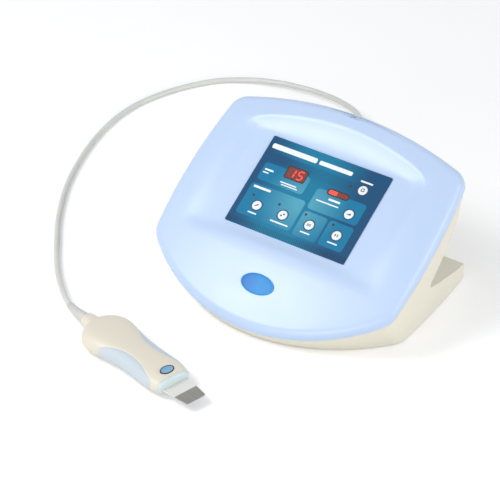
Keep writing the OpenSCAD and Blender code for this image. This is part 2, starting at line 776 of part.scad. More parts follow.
module shell_screws() {
    color("silver") on_hand() shell_bosses() difference() {
        union() {
            translate([0, 0, -7]) cylinder(r = 1, h = 11.5);
            translate([0, 0, -8.4]) cylinder(r = 2, h = 1.4);
        }
        translate([-1.5, -0.3, -9]) cube([3, 0.6, 1.1]);
    }
}

// A grip fills the recess of both shells on one side; its border is shared by its two faces.
module grip(side) {
    rows = [for (i = [grip_first:grip_last])
        [for (k = [-band:band])
            let (s = stations[i], up = k < 0 ? -1 : 1, j = abs(k), h = up > 0 ? s[2] : s[3],
                 most = up > 0 ? 65 : 45, turn = turn_at(s[0], j, most),
                 o = section_point(s[0], s[1]*hand_scale, h, turn),
                 n = section_point(s[0], s[1]*hand_scale - grip_t, h - grip_t, turn))
            [[o[0], o[1], up*o[2]], [n[0], n[1], up*n[2]]]]];
    count = 2*band + 1;
    last = grip_last - grip_first;
    // inner points exist only inside the border
    function on_border(p) = p[0] == 0 || p[0] == last || p[1] == 0 || p[1] == count - 1;
    function outer_id(p) = p[0]*count + p[1];
    function inner_id(p) = on_border(p) ? outer_id(p) : (last + 1)*count + (p[0] - 1)*(count - 2) + p[1] - 1;
    points = concat(
        [for (r = rows) for (p = r) p[0]],
        [for (r = [1:last - 1]) for (c = [1:count - 2]) rows[r][c][1]]);
    // quads are split as the shells' are; a corner triangle with no inner point is left out
    triangles = [for (r = [0:last - 1]) for (c = [0:count - 2])
        let (p = [r, c], q = [r, c + 1], s = [r + 1, c + 1], t = [r + 1, c])
        for (tri = side < 0 ? [[p, q, s], [p, s, t]] : [[p, q, t], [q, s, t]])
            if (!(on_border(tri[0]) && on_border(tri[1]) && on_border(tri[2]))) tri];
    faces = concat(
        [for (tri = triangles) [outer_id(tri[2]), outer_id(tri[1]), outer_id(tri[0])]],
        [for (tri = triangles) [for (p = tri) inner_id(p)]]);
    color("powderblue") on_hand() mirror([0, side < 0 ? 1 : 0, 0]) polyhedron(points, faces, convexity = 6);
}

module near_grip() { grip(-1); }
module far_grip() { grip(1); }

blade_z = -1.5;
collar_start = 114.6;
collar_l = 5.6;
blade_root_x = 88;
blade_tip_x = 148;
blade_shoulder = 13.6;    // half width where the blade leaves the collar
blade_shoulder_x = 120;

function full_section(x, a, up, down) = [for (k = [0:35])
    let (t = -k*10, c = cos(t), s = sin(t), h = s > 0 ? up : down)
    [x, sign(c)*a*pow(abs(c), section_power), sign(s)*h*pow(abs(s), section_power)]];

module nose_collar() {
    a = 17.8*hand_scale;
    color("paleturquoise") on_hand() difference() {
        skin([full_section(collar_start, a, 7, 9), full_section(collar_start + 2.6, a - 0.5, 6.7, 8.7),
              full_section(collar_start + 4.6, a - 1.8, 5.8, 7.6), full_section(collar_start + collar_l, a - 3.4, 4.6, 6.4)]);
        translate([collar_start - 5, -blade_shoulder - 0.6, blade_z - blade_t/2 - 0.3])
            cube([collar_l + 10, 2*blade_shoulder + 1.2, blade_t + 0.6]);
    }
}

module spatula_blade() {
    tip_r = 1.5;
    half_tip = blade_w/2;
    color("gainsboro") on_hand() translate([0, 0, blade_z - blade_t/2]) difference() {
        linear_extrude(blade_t) polygon(concat(
            [[blade_root_x, -5], [blade_root_x + 14, -5], [blade_shoulder_x - 10, -blade_shoulder],
             [blade_shoulder_x, -blade_shoulder]],
            [for (a = [-90:30:0]) [blade_tip_x - tip_r + tip_r*cos(a), -half_tip + tip_r + tip_r*sin(a)]],
            [for (a = [0:30:90]) [blade_tip_x - tip_r + tip_r*cos(a), half_tip - tip_r + tip_r*sin(a)]],
            [[blade_shoulder_x, blade_shoulder], [blade_shoulder_x - 10, blade_shoulder],
             [blade_root_x + 14, 5], [blade_root_x, 5]]));
        translate([blade_root_x + 5, 0, -1]) cylinder(r = 1.55, h = blade_t + 2);
    }
}

module along_hand(x) {
    on_hand() translate([x, 0, blade_z]) rotate([0, 90, 0]) children();
}

horn_x = 62;
horn_flange_r = 5.6;

module horn() {
    color("silver") difference() {
        union() {
            along_hand(horn_x) cylinder(r = piezo_d/2, h = 4);
            along_hand(horn_x + 4) cylinder(r1 = piezo_d/2, r2 = 4, h = 12);
            along_hand(horn_x + 16) cylinder(r = 4, h = 9);
            on_hand() translate([blade_root_x - 3, -4, blade_z - blade_t/2 - 2.5]) cube([11, 8, 2.5]);
        }
        along_hand(horn_x - 1) cylinder(r = 2.05, h = 8);
        on_hand() translate([blade_root_x + 5, 0, -10]) cylinder(r = 1, h = 20);
        on_hand() translate([blade_root_x - 1, -6, blade_z - blade_t/2]) cube([20, 12, 8]);
    }
}

module blade_screw() {
    color("silver") on_hand() translate([blade_root_x + 5, 0, blade_z - blade_t/2]) {
        translate([0, 0, -2.4]) cylinder(r = 0.95, h = 2.4 + blade_t);
        translate([0, 0, blade_t]) cylinder(r = 2.4, h = 1.4);
    }
}

ring_t = 3;
electrode_t = 0.3;
ring_pitch = ring_t + electrode_t;

module stack_ring(x, r, t) {
    along_hand(x) difference() {
        cylinder(r = r, h = t);
        translate([0, 0, -1]) cylinder(r = 2.6, h = t + 2);
    }
}

module piezo_rings() {
    color("lightyellow") for (i = [0:3]) stack_ring(horn_x - (i + 1)*ring_pitch + electrode_t, piezo_d/2, ring_t);
}

module electrode_rings() {
    color("peru") for (i = [0:3]) stack_ring(horn_x - (i + 1)*ring_pitch, piezo_d/2 - 0.1, electrode_t);
}

back_mass_l = 11;
stack_start = horn_x - 4*ring_pitch;

module back_mass() {
    color("slategray") along_hand(stack_start - back_mass_l) difference() {
        cylinder(r = piezo_d/2, h = back_mass_l);
        translate([0, 0, -1]) cylinder(r = 2.05, h = back_mass_l + 2);
    }
}

module clamp_bolt() {
    color("dimgray") {
        along_hand(stack_start - back_mass_l) cylinder(r = 2, h = horn_x + 6.5 - stack_start + back_mass_l);
        along_hand(stack_start - back_mass_l - 3) cylinder(r = 3.6, h = 3, $fn = 6);
    }
}

cradle_x = horn_x + 0.5;
cradle_l = 3;
shell_floor = -10.5 + shell_in;

module transducer_cradle() {
    ring_r = piezo_d/2 + 0.5;
    color("white") for (x = [cradle_x, stack_start - 6]) difference() {
        on_hand() translate([x, -7.5, shell_floor + 0.6]) cube([cradle_l, 15, 6]);
        along_hand(x - 1) cylinder(r = ring_r, h = cradle_l + 2);
    }
}

module damping_rings() {
    color("black") for (x = [cradle_x, stack_start - 6]) along_hand(x) difference() {
        cylinder(r = piezo_d/2 + 0.45, h = cradle_l);
        translate([0, 0, -1]) cylinder(r = piezo_d/2 + fit, h = cradle_l + 2);
    }
}

hand_badge_x = 109.6;

module handpiece_badge() {
    color("steelblue") on_hand() translate([hand_badge_x, 0, 7.85]) rotate([0, 7.5, 0])
        linear_extrude(0.7) scale([0.62, 1]) circle(r = 7);
}

front_cover();
keypad_panel();
key_on_off();
key_power();
key_program_a();
key_program_b();
key_pulse();
key_pause();
digit_window();
bar_window();
indicator_lenses();
console_badge();
digit_display();
bar_display();
key_switches();
control_board();
board_spacers();
board_screws();
buzzer();
board_connector();
driver_board();
driver_screws();
output_transformer();
supply_coil();
capacitors();
heatsink();
heatsink_transistors();
lead_terminal();
rear_housing();
case_screws();
base_plate();
base_screws();
rubber_feet();
power_jack();
jack_nut();
lead_gland();
console_boot();
lead();
handpiece_boot();
upper_shell();
lower_shell();
near_grip();
far_grip();
nose_collar();
spatula_blade();
blade_screw();
horn();
piezo_rings();
electrode_rings();
back_mass();
clamp_bolt();
transducer_cradle();
damping_rings();
handpiece_badge();
shell_screws();
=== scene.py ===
"""Looks of a desktop ultrasound skin-therapy console and its corded spatula handpiece."""

import json
import logging
import math
from dataclasses import dataclass, field
from enum import Enum
from typing import Any, Sequence

import bmesh
import bpy
from mathutils import Matrix, Vector

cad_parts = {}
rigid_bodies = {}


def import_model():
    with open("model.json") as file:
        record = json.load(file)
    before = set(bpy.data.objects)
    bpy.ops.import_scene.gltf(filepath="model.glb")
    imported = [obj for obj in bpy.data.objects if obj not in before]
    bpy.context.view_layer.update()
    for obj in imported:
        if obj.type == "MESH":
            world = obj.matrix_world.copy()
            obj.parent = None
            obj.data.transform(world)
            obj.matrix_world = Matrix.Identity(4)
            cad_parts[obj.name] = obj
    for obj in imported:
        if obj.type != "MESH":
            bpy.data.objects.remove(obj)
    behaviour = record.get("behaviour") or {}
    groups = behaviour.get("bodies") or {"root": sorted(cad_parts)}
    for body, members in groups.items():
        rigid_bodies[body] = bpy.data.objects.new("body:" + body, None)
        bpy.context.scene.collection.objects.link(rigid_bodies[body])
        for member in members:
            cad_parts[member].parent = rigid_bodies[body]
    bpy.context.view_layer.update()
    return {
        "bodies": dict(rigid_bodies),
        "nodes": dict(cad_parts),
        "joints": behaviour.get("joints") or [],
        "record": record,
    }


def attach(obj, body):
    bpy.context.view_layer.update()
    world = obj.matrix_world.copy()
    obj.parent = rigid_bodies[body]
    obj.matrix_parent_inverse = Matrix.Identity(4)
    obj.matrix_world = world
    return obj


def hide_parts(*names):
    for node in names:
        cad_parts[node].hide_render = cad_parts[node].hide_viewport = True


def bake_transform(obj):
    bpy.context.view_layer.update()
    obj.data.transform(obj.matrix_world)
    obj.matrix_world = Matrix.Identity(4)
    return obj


LOG = logging.getLogger("console")
MM = 0.001

Colour = tuple[float, float, float]
Flat = tuple[float, float]


class Body(Enum):
    """Bodies of the frame that pieces ride on."""

    CONSOLE = "console"
    HANDPIECE = "handpiece"


class Slot(Enum):
    """Names of the record's material slots."""

    COVER = "cover_blue"
    FILM = "keypad_film"
    KEY = "key_white"
    DISPLAY = "display_red"
    LENS = "lens_grey"
    BADGE = "badge_blue"
    HOUSING = "cream_plastic"
    LEAD = "grey_rubber"
    HAND = "hand_cream"
    GRIP = "grip_blue"
    COLLAR = "collar_green"
    BLADE = "blade_steel"


def linear(colour: Colour) -> tuple[float, float, float, float]:
    """Turns a colour in 0-255 display values into linear light with full alpha."""

    def one(value: float) -> float:
        """One channel in linear light."""
        x = value / 255
        return x / 12.92 if x <= 0.04045 else ((x + 0.055) / 1.055) ** 2.4

    return (one(colour[0]), one(colour[1]), one(colour[2]), 1.0)


def ease(t: float) -> float:
    """Smooth step from 0 to 1."""
    t = min(max(t, 0.0), 1.0)
    return t * t * (3 - 2 * t)


def mix(a: float, b: float, t: float) -> float:
    """Value between a and b."""
    return a + (b - a) * t


# ---------------------------------------------------------------------------
# Finishes
# ---------------------------------------------------------------------------


class Graph:
    """A material's node graph with short ways to add and join nodes."""

    def __init__(self, name: str) -> None:
        """Starts a material of that name with a Principled surface.

        Args:
            name: the material's name.
        """
        self.material = bpy.data.materials.new(name)
        self.material.use_nodes = True
        self.tree = self.material.node_tree
        self.surface = self.tree.nodes["Principled BSDF"]

    def add(self, kind: str, **values: Any) -> bpy.types.Node:
        """Adds a node and sets its properties.

        Args:
            kind: the node's type name.
            **values: properties set on the node.

        Returns:
            The new node.
        """
        node = self.tree.nodes.new(kind)
        for key, value in values.items():
            setattr(node, key, value)
        return node

    def join(self, out: bpy.types.NodeSocket, into: bpy.types.NodeSocket) -> None:
        """Links one socket to another."""
        self.tree.links.new(out, into)

    def place(self, matrix: Matrix | None = None, scale: float = 1.0) -> bpy.types.NodeSocket:
        """Gives object coordinates, in a frame of the object's own when one is given.

        Args:
            matrix: the frame, as a rigid transform in the row frame.
            scale: factor on the coordinates.

        Returns:
            The vector socket.
        """
        coords = self.add("ShaderNodeTexCoord").outputs["Object"]
        if matrix is not None:
            mapping = self.add("ShaderNodeMapping", vector_type="TEXTURE")
            mapping.inputs["Location"].default_value = matrix.to_translation()
            mapping.inputs["Rotation"].default_value = matrix.to_euler()
            self.join(coords, mapping.inputs["Vector"])
            coords = mapping.outputs["Vector"]
        if scale != 1.0:
            grow = self.add("ShaderNodeVectorMath", operation="SCALE")
            grow.inputs["Scale"].default_value = scale
            self.join(coords, grow.inputs[0])
            coords = grow.outputs["Vector"]
        return coords

    def noise(self, vector: bpy.types.NodeSocket, scale: float, detail: float = 3.0) -> bpy.types.NodeSocket:
        """Adds noise over a vector.

        Args:
            vector: coordinates.
            scale: bumps per metre, roughly.
            detail: octaves.

        Returns:
            The noise value.
        """
        node = self.add("ShaderNodeTexNoise")
        node.inputs["Scale"].default_value = scale
        node.inputs["Detail"].default_value = detail
        self.join(vector, node.inputs["Vector"])
        return node.outputs["Fac"]

    def ramp(self, value: bpy.types.NodeSocket, stops: Sequence[tuple[float, tuple]]) -> bpy.types.NodeSocket:
        """Adds a colour ramp.

        Args:
            value: position along the ramp.
            stops: positions with their linear colours.

        Returns:
            The colour.
        """
        node = self.add("ShaderNodeValToRGB")
        elements = node.color_ramp.elements
        while len(elements) < len(stops):
            elements.new(0.5)
        for element, (position, colour) in zip(elements, stops):
            element.position = position
            element.color = colour
        self.join(value, node.inputs["Fac"])
        return node.outputs["Color"]

    def level(self, value: bpy.types.NodeSocket, low: float, high: float, to_low: float,
              to_high: float) -> bpy.types.NodeSocket:
        """Maps a value from one range to another, held at the ends."""
        node = self.add("ShaderNodeMapRange")
        for key, number in zip(("From Min", "From Max", "To Min", "To Max"), (low, high, to_low, to_high)):
            node.inputs[key].default_value = number
        self.join(value, node.inputs["Value"])
        return node.outputs["Result"]

    def bump(self, height: bpy.types.NodeSocket, strength: float, distance: float) -> None:
        """Adds a bump to the surface.

        Args:
            height: the height field.
            strength: share of the bump shown.
            distance: its depth in metres.
        """
        node = self.add("ShaderNodeBump")
        node.inputs["Strength"].default_value = strength
        node.inputs["Distance"].default_value = distance
        self.join(height, node.inputs["Height"])
        self.join(node.outputs["Normal"], self.surface.inputs["Normal"])

    def set(self, **values: Any) -> None:
        """Sets the surface's own sockets, with _ for a space in their names."""
        for key, value in values.items():
            self.surface.inputs[key.replace("_", " ")].default_value = value


@dataclass(frozen=True)
class MouldedPlastic:
    """Injection-moulded plastic: a fine grain, faint flow marks and slightly uneven gloss."""

    name: str
    colour: Colour
    roughness: float = 0.35
    grain: float = 0.00002
    grain_scale: float = 1500.0
    coat: float = 0.0
    drift: float = 0.03

    def make(self) -> bpy.types.Material:
        """Builds the material."""
        g = Graph(self.name)
        place = g.place()
        base = linear(self.colour)
        low = tuple(c * (1 - self.drift) for c in base[:3]) + (1.0,)
        high = tuple(min(1.0, c * (1 + self.drift)) for c in base[:3]) + (1.0,)
        colour = g.ramp(g.noise(place, 9.0, 2.0), [(0.3, low), (0.7, high)])
        g.join(colour, g.surface.inputs["Base Color"])
        rough = g.level(g.noise(place, 60.0, 4.0), 0.3, 0.7, self.roughness * 0.92, self.roughness * 1.08)
        g.join(rough, g.surface.inputs["Roughness"])
        g.bump(g.noise(place, self.grain_scale, 2.0), 0.35, self.grain)
        g.set(Coat_Weight=self.coat, Coat_Roughness=0.12, Specular_IOR_Level=0.45)
        return g.material


@dataclass(frozen=True)
class SoftRubber:
    """Matt flexible sheath or rubber with a fine bloom."""

    name: str
    colour: Colour
    roughness: float = 0.55

    def make(self) -> bpy.types.Material:
        """Builds the material."""
        g = Graph(self.name)
        place = g.place()
        base = linear(self.colour)
        low = tuple(c * 0.93 for c in base[:3]) + (1.0,)
        g.join(g.ramp(g.noise(place, 35.0, 4.0), [(0.35, low), (0.65, base)]), g.surface.inputs["Base Color"])
        g.join(g.level(g.noise(place, 400.0), 0.3, 0.7, self.roughness - 0.06, self.roughness + 0.06),
               g.surface.inputs["Roughness"])
        g.bump(g.noise(place, 2500.0, 2.0), 0.4, 0.00003)
        g.set(Sheen_Weight=0.12, Sheen_Roughness=0.4)
        return g.material


@dataclass(frozen=True)
class TurnedMetal:
    """Metal with fine drawn lines along one axis."""

    name: str
    colour: Colour
    roughness: float = 0.3

    def make(self) -> bpy.types.Material:
        """Builds the material."""
        g = Graph(self.name)
        place = g.place()
        stretch = g.add("ShaderNodeMapping")
        stretch.inputs["Scale"].default_value = (2000.0, 60.0, 2000.0)
        g.join(place, stretch.inputs["Vector"])
        lines = g.noise(stretch.outputs["Vector"], 1.0, 3.0)
        base = linear(self.colour)
        low = tuple(c * 0.85 for c in base[:3]) + (1.0,)
        g.join(g.ramp(lines, [(0.3, low), (0.7, base)]), g.surface.inputs["Base Color"])
        g.join(g.level(lines, 0.3, 0.7, self.roughness * 0.8, self.roughness * 1.3), g.surface.inputs["Roughness"])
        g.bump(lines, 0.3, 0.00001)
        g.set(Metallic=1.0)
        return g.material


@dataclass(frozen=True)
class BladeSteel:
    """Polished spatula steel whose working end is ground to a darker brushed band."""

    name: str
    frame: Matrix
    band_from: float
    polished: Colour = (226, 225, 220)
    brushed: Colour = (150, 147, 140)

    def make(self) -> bpy.types.Material:
        """Builds the material."""
        g = Graph(self.name)
        place = g.place(self.frame)
        split = g.add("ShaderNodeSeparateXYZ")
        g.join(place, split.inputs["Vector"])
        edge = self.band_from * MM
        band = g.level(split.outputs["X"], edge - 0.0004, edge + 0.0004, 0.0, 1.0)
        stretch = g.add("ShaderNodeMapping")
        stretch.inputs["Scale"].default_value = (90.0, 3500.0, 3500.0)
        g.join(place, stretch.inputs["Vector"])
        lines = g.noise(stretch.outputs["Vector"], 1.0, 4.0)
        shine = linear(self.polished)
        dark = tuple(c * 0.72 for c in linear(self.brushed)[:3]) + (1.0,)
        brushed = g.ramp(lines, [(0.3, dark), (0.7, linear(self.brushed))])
        blend = g.add("ShaderNodeMix", data_type="RGBA")
        blend.inputs["A"].default_value = shine
        g.join(band, blend.inputs["Factor"])
        g.join(brushed, blend.inputs["B"])
        g.join(blend.outputs["Result"], g.surface.inputs["Base Color"])
        g.join(g.level(band, 0.0, 1.0, 0.28, 0.42), g.surface.inputs["Roughness"])
        g.bump(lines, 0.35, 0.00001)
        g.set(Metallic=0.15)
        return g.material


@dataclass(frozen=True)
class PrintedFilm:
    """The keypad's satin film: teal in the middle, navy to the sides, with fine stripes at its foot."""

    name: str
    frame: Matrix
    half_w: float
    half_h: float
    navy: Colour = (28, 78, 118)
    teal: Colour = (27, 122, 158)
    left: Colour = (22, 92, 132)

    def make(self) -> bpy.types.Material:
        """Builds the material."""
        g = Graph(self.name)
        place = g.place(self.frame)
        split = g.add("ShaderNodeSeparateXYZ")
        g.join(place, split.inputs["Vector"])
        u = g.level(split.outputs["X"], -self.half_w * MM, self.half_w * MM, 0.0, 1.0)
        across = g.ramp(u, [(0.0, linear(self.navy)), (0.03, linear(self.navy)), (0.12, linear(self.left)),
                            (0.3, linear(self.teal)), (0.55, linear(self.teal)), (0.84, linear(self.navy)),
                            (1.0, linear(self.navy))])
        under = g.level(split.outputs["Y"], 29.0 * MM, 31.0 * MM, 1.0, 0.0)
        over = g.level(split.outputs["Y"], 14.0 * MM, 22.0 * MM, 0.0, 1.0)
        fade = g.level(split.outputs["X"], -40.0 * MM, -5.0 * MM, 0.95, 0.35)
        band = g.add("ShaderNodeMath", operation="MULTIPLY")
        g.join(under, band.inputs[0])
        g.join(over, band.inputs[1])
        shade = g.add("ShaderNodeMath", operation="MULTIPLY")
        g.join(band.outputs["Value"], shade.inputs[0])
        g.join(fade, shade.inputs[1])
        deeper = g.add("ShaderNodeMix", data_type="RGBA")
        deeper.inputs["B"].default_value = linear(self.navy)
        g.join(shade.outputs["Value"], deeper.inputs["Factor"])
        g.join(across, deeper.inputs["A"])
        across = deeper.outputs["Result"]
        foot = g.level(split.outputs["Y"], -(self.half_h - 5.5) * MM, -(self.half_h - 7.0) * MM, 1.0, 0.0)
        wave = g.add("ShaderNodeTexWave", wave_type="BANDS", bands_direction="DIAGONAL")
        wave.inputs["Scale"].default_value = 260.0
        wave.inputs["Distortion"].default_value = 1.5
        g.join(place, wave.inputs["Vector"])
        stripe = g.level(wave.outputs["Fac"], 0.2, 0.8, 0.62, 0.95)
        darker = g.add("ShaderNodeMix", data_type="RGBA", blend_type="MULTIPLY")
        g.join(foot, darker.inputs["Factor"])
        g.join(across, darker.inputs["A"])
        g.join(stripe, darker.inputs["B"])
        g.join(darker.outputs["Result"], g.surface.inputs["Base Color"])
        g.join(g.level(g.noise(place, 300.0), 0.3, 0.7, 0.3, 0.38), g.surface.inputs["Roughness"])
        g.bump(g.noise(place, 3000.0, 2.0), 0.25, 0.00001)
        g.set(Specular_IOR_Level=0.15)
        return g.material


@dataclass(frozen=True)
class PrintedPatch:
    """A printed field on the film, paler towards the keypad's middle."""

    name: str
    frame: Matrix
    near: Colour
    far: Colour
    reach: float = 55.0

    def make(self) -> bpy.types.Material:
        """Builds the material."""
        g = Graph(self.name)
        place = g.place(self.frame, 1000.0 / self.reach)
        gradient = g.add("ShaderNodeTexGradient", gradient_type="SPHERICAL")
        shift = g.add("ShaderNodeMapping")
        shift.inputs["Location"].default_value = (2.0 / self.reach, 6.0 / self.reach, 0.0)
        g.join(place, shift.inputs["Vector"])
        g.join(shift.outputs["Vector"], gradient.inputs["Vector"])
        g.join(g.ramp(gradient.outputs["Fac"], [(0.12, linear(self.far)), (0.85, linear(self.near))]),
               g.surface.inputs["Base Color"])
        g.join(g.level(g.noise(place, 8.0), 0.3, 0.7, 0.3, 0.38), g.surface.inputs["Roughness"])
        g.set(Specular_IOR_Level=0.15)
        return g.material


@dataclass(frozen=True)
class TintedWindow:
    """Deep red display window with a faint cell pattern behind it."""

    name: str
    colour: Colour
    cell: float = 900.0

    def make(self) -> bpy.types.Material:
        """Builds the material."""
        g = Graph(self.name)
        place = g.place()
        base = linear(self.colour)
        low = tuple(c * 0.6 for c in base[:3]) + (1.0,)
        g.join(g.ramp(g.noise(place, self.cell, 1.0), [(0.35, low), (0.65, base)]), g.surface.inputs["Base Color"])
        g.set(Roughness=0.12, Coat_Weight=0.6, Coat_Roughness=0.06)
        return g.material


@dataclass(frozen=True)
class LitSegment:
    """A display segment that glows."""

    name: str
    colour: Colour
    strength: float = 0.9

    def make(self) -> bpy.types.Material:
        """Builds the material."""
        g = Graph(self.name)
        base = linear(self.colour)
        dimmer = tuple(c * 0.85 for c in base[:3]) + (1.0,)
        glow = g.ramp(g.noise(g.place(), 500.0, 1.0), [(0.2, dimmer), (0.8, base)])
        g.join(glow, g.surface.inputs["Emission Color"])
        g.join(glow, g.surface.inputs["Base Color"])
        g.set(Emission_Strength=self.strength, Roughness=0.3)
        return g.material


@dataclass(frozen=True)
class Enamel:
    """A domed badge's glossy filling, darker to one side."""

    name: str
    frame: Matrix
    colour: Colour
    deep: Colour
    half_w: float

    def make(self) -> bpy.types.Material:
        """Builds the material."""
        g = Graph(self.name)
        place = g.place(self.frame)
        split = g.add("ShaderNodeSeparateXYZ")
        g.join(place, split.inputs["Vector"])
        side = g.level(split.outputs["X"], -self.half_w * MM, self.half_w * MM, 0.0, 1.0)
        g.join(g.ramp(side, [(0.0, linear(self.deep)), (0.55, linear(self.colour)), (1.0, linear(self.colour))]),
               g.surface.inputs["Base Color"])
        g.set(Roughness=0.45, Coat_Weight=0.15, Coat_Roughness=0.2, Specular_IOR_Level=0.25)
        return g.material


# ---------------------------------------------------------------------------
# Meshes
# ---------------------------------------------------------------------------


def finish_piece(
    obj: bpy.types.Object,
    materials: Sequence[bpy.types.Material],
    body: str,
    replaces: Sequence[str] = (),
    sharp: float = 35.0,
) -> bpy.types.Object:
    """Dresses a mesh object and hands it to the frame.

    Args:
        obj: the object.
        materials: its materials in order of index.
        body: the body it rides on.
        replaces: CAD nodes that it stands for.
        sharp: edges over this angle in degrees stay sharp.

    Returns:
        The object.
    """
    if len(obj.data.materials):
        obj.data.materials.clear()
    for material in materials:
        obj.data.materials.append(material)
    obj.data.shade_smooth()
    obj.data.set_sharp_from_angle(angle=math.radians(sharp))
    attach(obj, body)
    if replaces:
        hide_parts(*replaces)
    return obj


def mesh_object(
    name: str,
    points: Sequence[Vector],
    faces: Sequence[Sequence[int]],
    indices: Sequence[int] | None = None,
) -> bpy.types.Object:
    """Makes an object from points and faces, with its faces turned outward.

    Args:
        name: the object's name.
        points: vertices in metres, in the row frame.
        faces: vertex numbers of each face.
        indices: each face's material index.

    Returns:
        The object.
    """
    mesh = bpy.data.meshes.new(name)
    mesh.from_pydata([tuple(p) for p in points], [], [tuple(f) for f in faces])
    if indices is not None:
        mesh.polygons.foreach_set("material_index", list(indices))
    bm = bmesh.new()
    bm.from_mesh(mesh)
    bmesh.ops.remove_doubles(bm, verts=bm.verts, dist=1e-7)
    bmesh.ops.recalc_face_normals(bm, faces=bm.faces)
    bm.to_mesh(mesh)
    bm.free()
    obj = bpy.data.objects.new(name, mesh)
    bpy.context.scene.collection.objects.link(obj)
    return obj


def ring_faces(rings: int, count: int, closed: bool, capped: bool = False) -> list[tuple[int, ...]]:
    """Quads between rings of points.

    Args:
        rings: number of rings.
        count: points in a ring.
        closed: whether the last ring joins the first.
        capped: whether the two ends are filled.

    Returns:
        The faces.
    """
    faces: list[tuple[int, ...]] = []
    for i in range(rings if closed else rings - 1):
        k = (i + 1) % rings
        for j in range(count):
            n = (j + 1) % count
            faces.append((i * count + j, i * count + n, k * count + n, k * count + j))
    if capped:
        faces.append(tuple(range(count)))
        faces.append(tuple((rings - 1) * count + j for j in range(count)))
    return faces


def softened(
    frame: dict[str, Any],
    node: str,
    name: str,
    bevel: float,
    materials: Sequence[bpy.types.Material],
    body: str,
    segments: int = 3,
    angle: float = 30.0,
) -> bpy.types.Object:
    """Copies a CAD node's mesh, joins its flat facets and rounds its edges.

    Args:
        node: the CAD node.
        name: the new object's name.
        bevel: width of the rounding in millimetres.
        materials: its materials.
        body: the body it rides on.
        segments: steps in the rounding.
        angle: edges over this angle in degrees are rounded.

    Returns:
        The new object, which stands for the node.
    """
    bm = bmesh.new()
    bm.from_mesh(frame["nodes"][node].data)
    bmesh.ops.remove_doubles(bm, verts=bm.verts, dist=2e-6)
    bmesh.ops.dissolve_limit(bm, angle_limit=math.radians(0.6), verts=bm.verts, edges=bm.edges)
    for face in bm.faces:
        face.material_index = 0
    mesh = bpy.data.meshes.new(name)
    bm.to_mesh(mesh)
    bm.free()
    obj = bpy.data.objects.new(name, mesh)
    bpy.context.scene.collection.objects.link(obj)
    mod = obj.modifiers.new("round", "BEVEL")
    mod.width = bevel * MM
    mod.segments = segments
    mod.limit_method = "ANGLE"
    mod.angle_limit = math.radians(angle)
    mod.harden_normals = False
    bpy.context.view_layer.update()
    baked = bpy.data.meshes.new_from_object(obj.evaluated_get(bpy.context.evaluated_depsgraph_get()))
    obj.modifiers.clear()
    obj.data = baked
    return finish_piece(obj, materials, body, [node], sharp=40.0)


@dataclass(frozen=True)
class FaceFrame:
    """Plane of the keypad: u across, v up the slope, w out of it, in millimetres."""

    tilt: float = 31.0
    height: float = 89.0

    def matrix(self) -> Matrix:
        """Rigid transform from this plane to the row frame, in metres."""
        return Matrix.Translation((0, 0, self.height * MM)) @ Matrix.Rotation(math.radians(self.tilt), 4, "X")

    def at(self, u: float, v: float, w: float) -> Vector:
        """Point of the row frame, in metres."""
        return self.matrix() @ Vector((u * MM, v * MM, w * MM))


# ---------------------------------------------------------------------------
# Camera, light and floor
# ---------------------------------------------------------------------------


def white_background_rays(tree: bpy.types.NodeTree) -> bpy.types.NodeSocket:
    """Picks out the rays that see the background: from the camera, off gloss and through glass.

    Args:
        tree: the node tree that the nodes go into.

    Returns:
        The socket that is 1 for such a ray and 0 for light on the object.
    """
    path = tree.nodes.new("ShaderNodeLightPath")
    seen = path.outputs["Is Camera Ray"]
    for kind in ("Is Glossy Ray", "Is Transmission Ray"):
        either = tree.nodes.new("ShaderNodeMath")
        either.operation = "MAXIMUM"
        tree.links.new(seen, either.inputs[0])
        tree.links.new(path.outputs[kind], either.inputs[1])
        seen = either.outputs["Value"]
    return seen


